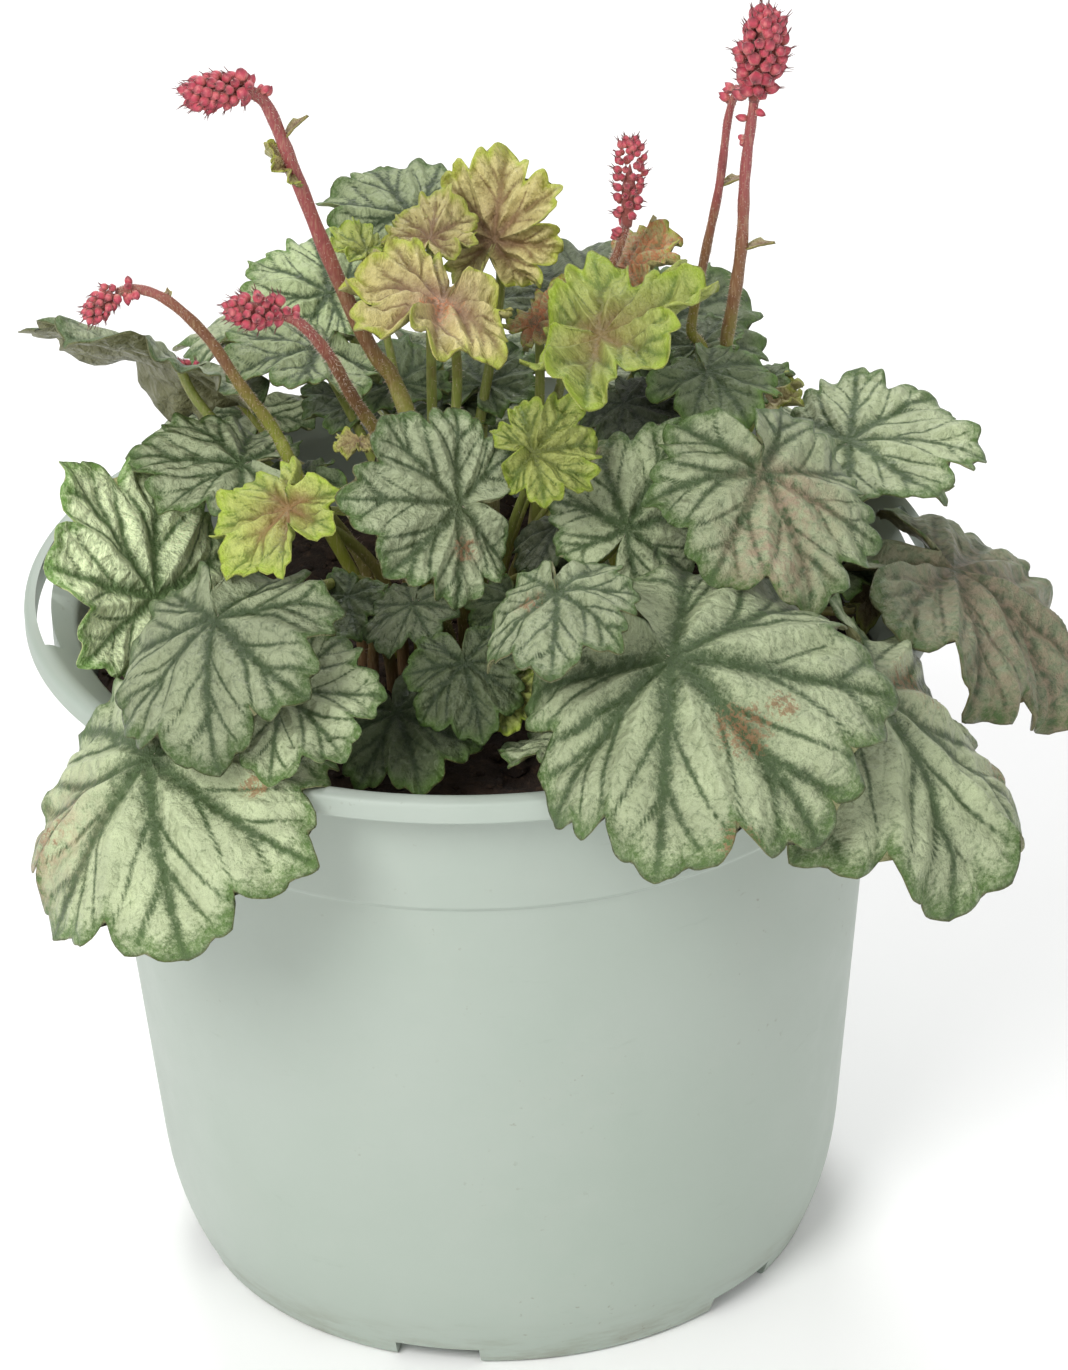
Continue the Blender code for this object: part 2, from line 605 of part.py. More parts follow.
def vertex_normals(points, faces):
    corners = points[np.array(faces)]
    flat = np.cross(corners[:, 1] - corners[:, 0], corners[:, 2] - corners[:, 0])
    total = np.zeros_like(points)
    for k in range(3):
        np.add.at(total, np.array(faces)[:, k], flat)
    return total / np.linalg.norm(total, axis=1, keepdims=True)


def curve_points(start, leave, arrive, end, steps):
    """Points along a cubic curve through start and end."""
    share = np.linspace(0, 1, steps)[:, None]
    return (
        (1 - share) ** 3 * start
        + 3 * (1 - share) ** 2 * share * leave
        + 3 * (1 - share) * share**2 * arrive
        + share**3 * end
    )


def stalk_path(leaf, root):
    """Up out of the soil, then in a curve to the underside of the blade."""
    tip, _, up = axes(leaf.heading, leaf.pitch, leaf.bank)
    surface = soil_top(math.hypot(*root))
    foot = np.array([root[0], root[1], surface - STEM_HOLE_DEPTH])
    start = np.array([root[0], root[1], surface + 1.0])
    end = np.array(leaf.at, float) - BLADE_THICKNESS * up
    reach = np.linalg.norm(end - start)
    leave = start + np.array([0.0, 0.0, STALK_RISE * reach])
    arrive = end - reach * (STALK_ARRIVAL[0] * tip + STALK_ARRIVAL[1] * up)
    return np.concatenate([[foot], curve_points(start, leave, arrive, end, STALK_STEPS)])


def tube_mesh(path, radii, sides, last=None):
    """A closed tube along a path, its rings turned as little as possible. last: the way its last ring
    faces."""
    path = np.asarray(path, float)
    along = np.gradient(path, axis=0)
    along /= np.linalg.norm(along, axis=1, keepdims=True)
    if last is not None:
        along[-1] = last
    reference = np.array([1.0, 0.0, 0.0])
    points = []
    for place, direction, radius in zip(path, along, radii):
        reference = reference - direction * (reference @ direction)
        reference /= np.linalg.norm(reference)
        other = np.cross(direction, reference)
        for i in range(sides):
            turn = 2 * math.pi * i / sides
            points.append(place + radius * (math.cos(turn) * reference + math.sin(turn) * other))
    faces = [list(range(sides))[::-1]]
    for ring in range(len(path) - 1):
        for i in range(sides):
            j = (i + 1) % sides
            low, high = ring * sides, (ring + 1) * sides
            faces.append([low + i, low + j, high + j, high + i])
    faces.append([(len(path) - 1) * sides + i for i in range(sides)])
    return points, faces


def make_leaf(leaf, root, finish):
    obj = mesh_object(leaf.name, *leaf_mesh(leaf, root), finish)
    obj.data.shade_smooth()
    obj.data.set_sharp_from_angle(angle=math.radians(50))
    return obj


def smooth_route(points, steps):
    """Points read at even steps from a smooth curve through the route's own points."""
    points = np.asarray(points, float)
    ends = np.concatenate([[2 * points[0] - points[1]], points, [2 * points[-1] - points[-2]]])
    along = []
    for share in np.linspace(0, len(points) - 1, steps):
        first = min(int(share), len(points) - 2)
        t = share - first
        a, b, c, d = ends[first:first + 4]
        along.append(0.5 * (2 * b + (c - a) * t + (2 * a - 5 * b + 4 * c - d) * t**2
                            + (3 * b - a - 3 * c + d) * t**3))
    return np.array(along)


def flower_path(stalk, root):
    surface = soil_top(math.hypot(*root))
    foot = np.array([root[0], root[1], surface - STEM_HOLE_DEPTH])
    start = np.array([root[0], root[1], surface + 2.0])
    route = np.concatenate([[start], np.asarray(stalk.route, float)])
    return np.concatenate([[foot], smooth_route(route, FLOWER_STEPS)])


def make_bract(at, heading, pitch, size, finish):
    """A small pointed blade that grows from a flower stalk."""
    tip, side, up = axes(heading, pitch, 0)
    upper = []
    for along, across in BRACT_EDGE:
        upper.append(np.array(at) + size * (along * tip + across * side - BRACT_BEND * along**2 * up))
    lower = [point - BLADE_THICKNESS * up for point in upper]
    count = len(upper)
    faces = list(BRACT_FACES) + [(count + c, count + b, count + a) for a, b, c in BRACT_FACES]
    for i in range(count):
        j = (i + 1) % count
        faces.append((j, i, count + i))
        faces.append((j, count + i, count + j))
    return mesh_object("bract", upper + lower, faces, finish)


def make_stalk(stalk, root, finish, bract_finish):
    path = flower_path(stalk, root)
    radii = np.linspace(stalk.thick, FLOWER_TAPER * stalk.thick, len(path))
    stem = mesh_object(stalk.name, *tube_mesh(path, radii, FLOWER_SIDES), finish)
    bracts = []
    for place, heading, pitch, size in stalk.bracts:
        bracts.append(make_bract(stalk.route[place], heading, pitch, size, bract_finish))
    if bracts:
        apply_boolean(stem, "UNION", bracts)
    stem.data.shade_smooth()
    stem.data.set_sharp_from_angle(angle=math.radians(50))
    return stem


def bud(at, out, length, finish):
    """One flower bud, a pointed four-sided grain."""
    out = out / np.linalg.norm(out)
    first = np.cross(out, ASKEW_BUD)
    first /= np.linalg.norm(first)
    second = np.cross(out, first)
    middle = at + out * length * BUD_WIDEST
    half = BUD_HALF_WIDTH * length
    ring = [middle + half * first, middle + half * second, middle - half * first, middle - half * second]
    points = [at] + ring + [at + out * length]
    faces = []
    for i in range(4):
        j = (i + 1) % 4
        faces.append([0, 1 + j, 1 + i])
        faces.append([5, 1 + i, 1 + j])
    return mesh_object("bud", points, faces, finish)


def make_head(head, finish):
    """A cluster of buds set in a spiral round a slim core."""
    start = np.array(head.at, float)
    axis = np.array(head.towards, float) - start
    axis /= np.linalg.norm(axis)
    side = np.cross(axis, ASKEW_HEAD)
    side /= np.linalg.norm(side)
    other = np.cross(axis, side)
    core_path = [start + axis * head.length * share for share in CORE_PLACES]
    core_radii = [CORE_FOOT] + [width * head.width for width in CORE_WIDTHS]
    core = mesh_object(head.name, *tube_mesh(core_path, core_radii, CORE_SIDES), finish)
    buds = []
    for i in range(head.buds):
        share = (i + 0.5) / head.buds
        turn = i * math.radians(SPIRAL_TURN)
        out = math.cos(turn) * side + math.sin(turn) * other
        place = start + axis * head.length * (0.12 + 0.7 * share) + out * 0.12 * head.width
        lean = out * (1.1 - 0.7 * share) + axis * (0.35 + 0.6 * share)
        buds.append(bud(place, lean, head.width * (0.56 - 0.14 * share), finish))
    apply_boolean(core, "UNION", buds)
    return core


def direction(stem):
    """Where a leaf or a flower stalk leans, as an angle round the pot."""
    at = stem.at if hasattr(stem, "at") else stem.route[1]
    return math.atan2(at[1], at[0])


def root_places(stems):
    """A root for each stem: on its own ring, in the order of the directions in which the stems lean."""
    roots = {}
    for number, radius in enumerate(STEM_RINGS, start=1):
        ring = sorted((s for s in stems if s.ring == number), key=direction)
        wanted = np.array([direction(s) for s in ring])
        even = 2 * math.pi * np.arange(len(ring)) / len(ring)
        even = even + np.mean(wanted - even)
        for stem, turn in zip(ring, even):
            roots[stem.name] = (radius * math.cos(turn), radius * math.sin(turn))
    return roots


def main():
    clear_scene()
    plastic = material("pot_plastic", (0.53, 0.61, 0.52, 1), 0.5)
    earth = material("soil", (0.02, 0.014, 0.01, 1), 0.95)
    wood = material("rootstock", (0.13, 0.08, 0.05, 1), 0.9)
    finishes = {name: material("leaf_" + name, kind.colour, 0.5) for name, kind in KINDS.items()}
    stalk_finish = material("flower_stalk", (0.36, 0.14, 0.09, 1), 0.5)
    bud_finish = material("flower_buds", (0.38, 0.04, 0.08, 1), 0.6)
    roots = root_places(LEAVES + STALKS)
    make_pot(plastic)
    stems = [(roots[leaf.name], KINDS[leaf.kind].stalk_radius, STALK_SIDES) for leaf in LEAVES]
    stems += [(roots[stalk.name], stalk.thick, FLOWER_SIDES) for stalk in STALKS]
    make_soil(stems, earth)
    make_crown(wood)
    for leaf in LEAVES:
        make_leaf(leaf, roots[leaf.name], finishes[leaf.kind])
    for stalk in STALKS:
        make_stalk(stalk, roots[stalk.name], stalk_finish, finishes["bronze"])
    for head in HEADS:
        make_head(head, bud_finish)


main()
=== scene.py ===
"""Potted heuchera, dressed for the picture: veined leaves, hairy stalks, buds, soil and a scuffed pot.

Lengths in the tables are millimetres and angles degrees, as in the CAD source, whose named values are
repeated here. +Z is up and -Y is the side that the camera sees.
"""

import math
from collections import namedtuple

import bpy
import numpy as np
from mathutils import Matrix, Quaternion, Vector
from mathutils import noise as blender_noise


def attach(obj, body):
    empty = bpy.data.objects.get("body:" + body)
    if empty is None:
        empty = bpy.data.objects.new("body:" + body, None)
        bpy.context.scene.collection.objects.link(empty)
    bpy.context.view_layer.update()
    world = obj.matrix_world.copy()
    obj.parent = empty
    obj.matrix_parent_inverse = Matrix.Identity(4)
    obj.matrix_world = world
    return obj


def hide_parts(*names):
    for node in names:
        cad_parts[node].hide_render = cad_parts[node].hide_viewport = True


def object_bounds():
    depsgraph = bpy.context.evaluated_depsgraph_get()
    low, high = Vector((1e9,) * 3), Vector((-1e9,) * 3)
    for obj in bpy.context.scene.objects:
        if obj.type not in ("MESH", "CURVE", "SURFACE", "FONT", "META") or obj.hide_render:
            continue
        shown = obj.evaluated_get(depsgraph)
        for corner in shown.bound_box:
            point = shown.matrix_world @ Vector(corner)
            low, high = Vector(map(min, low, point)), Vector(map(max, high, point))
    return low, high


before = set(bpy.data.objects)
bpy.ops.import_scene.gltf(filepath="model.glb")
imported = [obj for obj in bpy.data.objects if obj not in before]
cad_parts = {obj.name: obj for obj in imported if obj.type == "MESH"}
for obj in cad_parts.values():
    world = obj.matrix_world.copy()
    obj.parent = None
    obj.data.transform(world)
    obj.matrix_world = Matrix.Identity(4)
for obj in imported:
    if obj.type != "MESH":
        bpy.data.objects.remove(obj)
cad_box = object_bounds()

MM = 0.001
# The box of the CAD model in millimetres, which no fine point leaves
BOX_LOW = np.array(cad_box[0]) / MM + 0.02
BOX_HIGH = np.array(cad_box[1]) / MM - 0.02

# Camera, worked out from the ellipses of the pot's rim and foot
CAMERA_AT = (0.0, -1.0285, 0.6932)
CAMERA_TARGET = (0.0101, 0.0, 0.1252)
CAMERA_ROLL = math.radians(-1.83)
CAMERA_LENS = 147.07
SENSOR = 36.0
# Each light's name, place and size in metres, power in watts and colour
LIGHTS = (
    ("key", (-0.7, -1.2, 1.3), 0.8, 22.0, (1.0, 1.0, 0.98)),
    ("fill", (0.9, -1.1, 1.4), 0.9, 4.0, (1.0, 1.0, 1.0)),
    ("back", (-0.1, 1.2, 1.4), 0.8, 14.0, (1.0, 1.0, 1.0)),
)
LIGHT_TARGET = (0.0, 0.0, 0.14)
WORLD_LIGHT = 0.62
FLOOR_SIZE = 6000.0
FLOOR_LEVEL = -0.2

# Pot
POT_HEIGHT = 152.0
RIM_RADIUS = 95.0
RIM_BAND = 4.7
LIP_INNER_RADIUS = 91.6
COLLAR_RADIUS = 85.6
SHOULDER_RADIUS = 82.0
SHOULDER_HEIGHT = 120.0
HEEL_RADIUS = 73.0
HEEL_HEIGHT = 19.0
FOOT_RADIUS = 67.0
WALL = 1.6
FLOOR_HEIGHT = 5.0
FLOOR_THICKNESS = 2.0
FOOT_RING_WIDTH = 5.0
PAD_RADIUS = 8.0
POT_SIDES = 180
FOOT_NOTCHES = 6
FOOT_NOTCH_ANGLE = -103.0
FOOT_NOTCH_WIDTH = 18.0
FOOT_NOTCH_HEIGHT = 4.2
DRAIN_RADIUS = 4.5
DRAIN_CIRCLE = 48.0
SLOT_WIDTH = 3.2
SLOT_MIDDLE_RADIUS = 91.0
SLOT_HALF_ANGLE = 15.0

# Soil and rootstock
SOIL_HEIGHT = 130.0
SOIL_MOUND = 5.0
SOIL_BOTTOM = 118.0
STEM_HOLE_DEPTH = 11.0
CROWN_RADIUS = 7.0
CROWN_TOP = 143.0
CROWN_DEPTH = 26.0
# Height over the rootstock's foot and radius there
CROWN_PROFILE = ((0, 4.9), (6, 6.6), (12, 5.7), (18, 6.9), (23, 5.2), (26, 1.4))
CRUMBS = 900
STEM_RINGS = (12.5, 19.0, 25.5)

# Leaf form: the lobes' number, angle apart and reach, the notch at the stalk and the shoulders beside it, the
# half width of a lobe's middle tooth, how sharply dips and teeth turn, and how much less the blade's back bends
LOBES = 7
LOBE_STEP = 46.0
LOBE_REACH = (0.66, 0.82, 0.93, 1.00, 0.93, 0.82, 0.66)
SINUS_REACH = 0.12
SHOULDER_REACH = 0.52
MIDDLE_TOOTH = 0.38
DIP_POWER = 2.4
TOOTH_POWER = 2.2
BACK_BEND = 0.35
CAD_THICKNESS = 0.8
# The fine blades: thickness in the middle and at the edge, separate teeth round the blade, straight parts of
# a main vein and of a side vein, and each pair of side veins' start along the main vein, end round the edge
# and half width
THICKNESS = 0.5
EDGE_THICKNESS = 0.3
TEETH = 24
VEIN_PARTS = 8
SIDE_VEIN_PARTS = 4
SIDE_VEINS = ((0.30, 0.94, 0.024), (0.58, 0.52, 0.022))
# The puffed parts start this far from a vein, as a share of the reach. The crinkles are this share of them.
PUFF_WIDTH = 0.07
CRINKLE = 0.38
# Points round the edge and rings from the stalk to the edge, for each level of detail
GRIDS = {3: (264, 31), 2: (188, 21), 1: (132, 15)}

# Leaf stalks taper to this share of their radius. Flower stalks have these shares of their thickness as
# radius at the foot and at the neck.
STALK_TAPER = 0.8
FLOWER_FOOT = 0.72
FLOWER_NECK = 0.44
LEAF_HAIRS = 90
FLOWER_HAIRS = 900
HAIR_RADIUS = 0.055
HAIR_FACES = ((0, 2, 1), (0, 1, 3), (1, 2, 3), (2, 0, 3))
# Bracts of at least the first of these sizes have lobes, and those of the second grow larger
LOBED_BRACT = 9
BIG_BRACT = 12
# Pairs of side buds on each flower stalk, the angle between buds that follow each other on a head, the
# threads and hairs of a bud, and its width along its length
SIDE_BUDS = 4
GOLDEN_ANGLE = 137.5
BUD_THREADS = 3
BUD_HAIRS = 10
BUD_PROFILE = ((0.0, 0.3), (0.12, 0.7), (0.3, 0.97), (0.5, 1.0), (0.7, 0.82), (0.86, 0.5), (0.97, 0.17))

# How far each kind's lobes are cut in, its teeth, pleats, ruffles and cup, its stalk's radius, how much the
# blade puffs up between veins, and how far its edge turns down
Kind = namedtuple("Kind", "depth tooth pleat ruffle cup stalk_radius quilt curl")
KINDS = {
    "silver": Kind(0.15, 0.05, 0.035, 0.05, 0.03, 1.3, 0.044, 0.5),
    "green": Kind(0.17, 0.05, 0.045, 0.06, 0.05, 1.2, 0.044, 0.5),
    "lime": Kind(0.24, 0.07, 0.060, 0.10, 0.08, 1.0, 0.080, 0.0),
    "bronze": Kind(0.20, 0.08, 0.070, 0.12, 0.06, 1.2, 0.090, 0.0),
}

Leaf = namedtuple("Leaf", "name kind at heading pitch bank reach bend arch ring detail")
# The same rows as in the CAD source: where the stalk joins the blade, which way the tip points, how steeply,
# how far the left side is lifted, the length from the stalk to the tip, how the blade curls, which ring of
# stems it grows from and how finely it is built.
LEAVES = tuple(Leaf("leaf_" + name, kind, (x, y, z), *rest) for name, kind, x, y, z, *rest in (
    ("left", "silver", -66, -26, 163, 155, 60, -4, 33, 10, 0, 3, 3),
    ("left_front", "silver", -52, -72, 182, -101, -18, 20, 32, 50, 40, 2, 3),
    ("left_low", "silver", -66, -79, 156, -91, -17, 21, 48, 54, 70, 3, 3),
    ("left_inner", "silver", -40, -77, 169, -49, -19, 18, 22, 5, 5, 3, 3),
    ("left_upper", "silver", -48, -11, 185, 175, 10, -8, 24, 15, 20, 2, 3),
    ("lime_left", "lime", -37, -59, 199, -146, -36, 0, 18, 0, 5, 2, 2),
    ("centre", "silver", -4, -58, 198, -156, 17, -58, 25, 0, 14, 2, 3),
    ("lime_centre", "lime", 11, -51, 205, 9, 7, 41, 15, 40, 10, 1, 2),
    ("front_middle", "silver", 14, -87, 193, -99, -10, 14, 22, 10, 60, 2, 3),
    ("right_large", "silver", 36, -87, 178, -52, -10, 20, 51, 48, 70, 3, 3),
    ("right", "silver", 56, -47, 197, -66, -34, -7, 31, 5, 40, 2, 3),
    ("right_back", "silver", 77, 9, 175, -8, 8, 10, 29, 35, 0, 3, 3),
    ("right_low", "silver", 75, -69, 159, -56, -25, -19, 52, 43, 49, 3, 3),
    ("far_right", "silver", 97, -13, 156, -27, -18, -12, 44, 75, 20, 3, 3),
    ("shrivelled", "bronze", 80, -26, 158, -20, 5, 0, 12, 50, 50, 3, 1),
    ("folded", "silver", 29, -46, 185, 45, 45, 40, 24, 10, 70, 2, 2),
    ("grey_middle", "silver", 16, -29, 178, -110, -10, 28, 15, 20, 20, 2, 1),
    ("dark_middle", "green", 30, -10, 195, -60, -10, 10, 14, 30, 20, 1, 1),
    ("dark_left", "green", -18, -31, 162, -97, -15, -5, 12, 20, 20, 3, 2),
    ("front_green", "green", -4, -64, 166, -80, -40, 10, 16, 20, 20, 3, 2),
    ("front_low", "green", -18, -56, 151, -75, -20, 15, 20, 20, 20, 3, 2),
    ("front_grey", "silver", -14, -48, 171, -120, -20, 10, 13, 20, 20, 3, 1),
    ("lime_small", "lime", 4, -64, 160, -90, -40, 0, 10, 10, 0, 3, 1),
    ("rim_grey", "silver", 17, -70, 151, -150, 5, 15, 17, 10, 10, 3, 2),
    ("lime_back", "green", 47, -7, 200, -60, -5, 0, 18, 30, 20, 1, 2),
    ("olive", "bronze", 57, 6, 185, -30, 30, 0, 13, 20, 20, 1, 1),
    ("back_left_high", "green", -30, 46, 196, 150, 18, -15, 22, 20, 15, 2, 3),
    ("back_left_low", "green", -32, 16, 197, -150, 14, -5, 22, 30, 15, 2, 3),
    ("back_top", "green", -12, 44, 214, 115, 20, 0, 22, 20, 20, 2, 2),
    ("far_left", "silver", -60, 16, 194, 172, 22, 34, 37, 10, 25, 3, 3),
    ("bronze_back", "bronze", 5, 19, 219, 75, 76, -3, 20, 45, 20, 1, 3),
    ("bronze_small", "bronze", -8, 10, 224, 80, 25, 0, 13, 10, 20, 1, 1),
    ("lime_top", "lime", -21, 12, 221, 150, 25, 0, 9, 10, 0, 1, 1),
    ("bronze_top", "bronze", -6, -18, 223, -140, 5, -15, 23, 10, 10, 1, 3),
    ("orange", "bronze", 13, 4, 207, 20, 40, 0, 12, 10, 20, 1, 1),
    ("lime_right", "lime", 25, -28, 219, -12, 20, 9, 27, 0, 0, 1, 3),
    ("back_middle", "green", 22, 46, 194, 75, 10, 0, 27, 30, 30, 2, 2),
    ("back_right_high", "green", 40, 48, 184, 35, 10, 15, 27, 30, 30, 2, 2),
    ("back_1", "silver", 78, 42, 161, 24, -15, 0, 30, 35, 25, 3, 2),
    ("back_2", "silver", 43, 60, 166, 62, -10, 0, 26, 40, 25, 3, 2),
    ("back_3", "silver", 6, 86, 164, 88, -10, 0, 34, 35, 25, 3, 2),
    ("back_4", "silver", -38, 76, 178, 116, -15, 0, 34, 40, 25, 3, 2),
    ("back_5", "silver", -50, 58, 163, 120, -5, 0, 26, 50, 25, 3, 2),
    ("back_6", "silver", 0, 34, 168, 95, 20, 0, 20, 20, 20, 2, 2),
))

# Young leaves at the heart of the plant, which grow from the rootstock: the place where the stalk joins the
# blade, heading, pitch, bank and reach
INNER_LEAVES = (
    (-16, 22, 186, 100, 20, 0, 15),
    (-6, 28, 180, -90, -10, 10, 14),
    (2, 24, 184, 60, 25, -5, 15),
    (-24, 24, 180, 150, 10, 5, 14),
    (-27, -38, 168, -130, -20, 5, 13),
    (16, -38, 172, -70, -20, 10, 12),
    (6, -42, 168, -100, -30, 0, 12),
    (70, -20, 162, -20, -5, 0, 13),
    (47, 20, 193, 60, 25, 0, 11),
    (34, -2, 194, -60, 5, 0, 12),
    (26, 16, 204, 80, 20, 0, 11),
    (-34, -8, 180, -160, -5, 0, 13),
    (56, 12, 188, 10, 15, 0, 11),
    (-8, -20, 184, -120, -5, 0, 13),
)
# The young leaves' silver, lightness and centre tint; the lightness is partly their own colour and partly
# painted light and shade
INNER_TONE = (0.3, 1.2, 0.0)

Stalk = namedtuple("Stalk", "name route ring thick bracts")
STALKS = (
    Stalk("stalk_tall_left", ((-12, -12, 183), (-16, -8, 200), (-21, -8, 209), (-28, -10, 229),
          (-33, -14, 247), (-36, -16, 258), (-39, -18, 267), (-43, -20, 271)), 1, 2.6,
          ((4, 190, 60, 11), (5, 10, 50, 7))),
    Stalk("stalk_middle_left", ((-15, -24, 182), (-19, -29, 198), (-24, -36, 211), (-28, -44, 224),
          (-33, -50, 234), (-38, -52, 238)), 2, 2.2, ((1, 190, 5, 10),)),
    Stalk("stalk_low_left", ((-36, -12, 181), (-41, -12, 193), (-47, -14, 204), (-53, -16, 216),
          (-60, -18, 225), (-66, -18, 228), (-70, -19, 228)), 2, 2.0, ((4, 100, 60, 3),)),
    Stalk("stalk_back_left", ((-46, 32, 173), (-52, 31, 181), (-57, 31, 185)), 3, 1.6, ()),
    Stalk("stalk_short_middle", ((28, 8, 199), (27, 9, 212), (30, 9, 220), (32, 9, 226)), 1, 1.7,
          ((1, 20, 35, 15), (1, 190, 0, 10))),
    Stalk("stalk_tall_right_thin", ((44, 18, 186), (45, 17, 199), (48, 15, 216), (51, 13, 232), (53, 13, 247),
          (55, 12, 254)), 1, 1.7, ((3, 20, 20, 6),)),
    Stalk("stalk_tall_right", ((48, 9, 180), (52, 8, 201), (55, 8, 220), (56, 8, 237), (58, 8, 253)), 2, 2.3,
          ((2, 0, 20, 7),)),
)

Head = namedtuple("Head", "name at towards length width buds")
HEADS = (
    Head("buds_tall_left", (-44.6, -20.6, 271.3), (-54, -23, 271), 12, 8, 58),
    Head("buds_middle_left", (-38.5, -52.3, 238.2), (-48, -57, 241), 12, 7, 50),
    Head("buds_low_left", (-71.4, -19.5, 227.6), (-77, -21, 223), 8, 6, 34),
    Head("buds_back_left", (-57.5, 31, 185.5), (-65, 31, 188), 8, 5, 26),
    Head("buds_short_middle", (32, 9, 226.6), (33, 9, 241), 15, 6, 56),
    Head("buds_tall_right", (58.1, 8, 253.6), (61, 8, 275), 20, 9, 84),
)

# Where the buds start and how far they reach, as shares of the head's length, and how far the head swells
COMMON_SPAN = (-0.30, 1.02, 0.8)
BUD_SPANS = {
    "buds_short_middle": (0.06, 1.12, 1.2),
    "buds_tall_right": (-0.02, 0.88, 1.2),
}

# Scars and tints: for each leaf, spots of place along and across the blade as shares of its reach, radius,
# and strength of scar, pink tint
SPOTS = {
    "leaf_right_large": ((0.42, -0.02, 0.12, 1.0, 0.0), (0.44, 0.16, 0.07, 1.0, 0.0),
                         (0.75, -0.35, 0.10, 0.8, 0.0)),
    "leaf_left_low": ((0.25, 0.45, 0.08, 0.9, 0.0), (0.15, -0.55, 0.22, 0.5, 0.9),
                      (0.3, -0.8, 0.2, 0.3, 1.0)),
    "leaf_left": ((-0.35, -0.45, 0.12, 0.8, 0.6),),
    "leaf_centre": ((-0.05, 0.35, 0.12, 0.9, 0.6),),
    "leaf_front_middle": ((0.05, -0.25, 0.16, 0.9, 0.2),),
    "leaf_right": ((0.25, 0.1, 0.3, 0.2, 0.9), (0.6, -0.2, 0.3, 0.2, 1.0)),
    "leaf_right_low": ((0.0, 0.3, 0.16, 0.8, 0.4), (0.35, 0.7, 0.2, 0.7, 0.3)),
    "leaf_bronze_top": ((0.1, 0.1, 0.3, 0.6, 0.5),),
    "leaf_orange": ((0.2, 0.0, 0.9, 0.9, 0.0),),
    "bract_150": ((0.2, 0.0, 1.4, 0.8, 0.4),),
    "bract_110": ((0.2, 0.0, 0.8, 0.4, 0.0),),
    "leaf_folded": ((0.5, 0.7, 0.2, 0.8, 0.4),),
    "leaf_far_right": ((0.5, 0.0, 0.9, 0.25, 0.7),),
}
# Each leaf's amount of silver, lightness and tint of the centre. The lightness is partly the leaf's own colour
# and partly painted light and shade, set to how lit each leaf looks.
TONES = {
    "silver": (1.0, 1.0, 0.0),
    "green": (0.55, 0.9, 0.1),
    "lime": (0.75, 1.12, 0.8),
    "bronze": (0.7, 0.95, 0.75),
}
LEAF_TONES_AND_PAINTED_LIGHT = {
    # leaf_left, turned away from the key lamp, and the backlit leaves at the back are painted lighter: painted
    # light
    "leaf_left": (1.0, 2.0, 0.0),
    "leaf_left_front": (0.95, 0.72, 0.0),
    "leaf_left_low": (1.15, 1.15, 0.0),
    "leaf_left_upper": (0.9, 0.9, 0.0),
    "leaf_centre": (1.0, 0.8, 0.1),
    "leaf_right_large": (1.0, 0.9, 0.0),
    "leaf_right": (0.95, 0.82, 0.0),
    "leaf_right_back": (1.1, 1.05, 0.0),
    "leaf_right_low": (1.0, 0.92, 0.0),
    "leaf_front_middle": (0.9, 0.78, 0.0),
    "leaf_far_right": (0.55, 0.72, 0.25),
    "leaf_far_left": (0.9, 0.8, 0.0),
    "leaf_lime_left": (0.9, 1.35, 1.0),
    "leaf_lime_centre": (0.9, 1.0, 0.2),
    "leaf_lime_back": (0.3, 1.6, 0.0),
    "leaf_back_right_high": (0.4, 1.2, 0.0),
    "leaf_bronze_top": (0.9, 1.45, 0.9),
    "leaf_bronze_back": (0.9, 1.5, 0.7),
    "leaf_bronze_small": (0.9, 1.25, 0.7),
    "leaf_lime_top": (0.9, 1.25, 0.2),
    # The leaves deep in the middle are painted darker: painted shade
    "leaf_grey_middle": (0.7, 0.5, 0.0),
    "leaf_dark_middle": (0.3, 0.45, 0.0),
    "leaf_dark_left": (0.3, 0.42, 0.3),
    "leaf_front_low": (0.3, 1.1, 0.0),
    "leaf_front_green": (0.4, 0.8, 0.0),
    "leaf_front_grey": (0.6, 0.6, 0.0),
    "leaf_shrivelled": (0.2, 0.45, 0.6),
    "leaf_back_left_high": (1.1, 1.75, 0.0),
    "leaf_back_left_low": (0.9, 1.3, 0.0),
    "leaf_back_top": (1.0, 1.2, 0.0),
}


def shade(red, green, blue):
    """A colour given as 0 to 255 in sRGB, as Blender's linear values."""
    values = (red / 255, green / 255, blue / 255)
    return tuple(v / 12.92 if v <= 0.04045 else ((v + 0.055) / 1.055) ** 2.4 for v in values) + (1.0,)


# Each leaf kind's colours: pale lamina, vein bands, margin, the centre's tint, the underside and scars
Paint = namedtuple("Paint", "pale vein margin centre under scar")
PAINTS = {
    "silver": Paint(shade(184, 195, 155), shade(74, 94, 56), shade(84, 114, 52), shade(112, 92, 70),
                    shade(140, 140, 98), shade(148, 106, 70)),
    "green": Paint(shade(150, 162, 122), shade(52, 68, 38), shade(76, 104, 42), shade(80, 62, 46),
                   shade(100, 110, 64), shade(110, 70, 44)),
    "lime": Paint(shade(170, 178, 98), shade(92, 112, 42), shade(144, 164, 52), shade(134, 106, 68),
                  shade(156, 166, 84), shade(146, 92, 56)),
    "bronze": Paint(shade(186, 176, 120), shade(118, 104, 62), shade(150, 160, 58), shade(120, 90, 72),
                    shade(150, 144, 90), shade(172, 104, 66)),
}


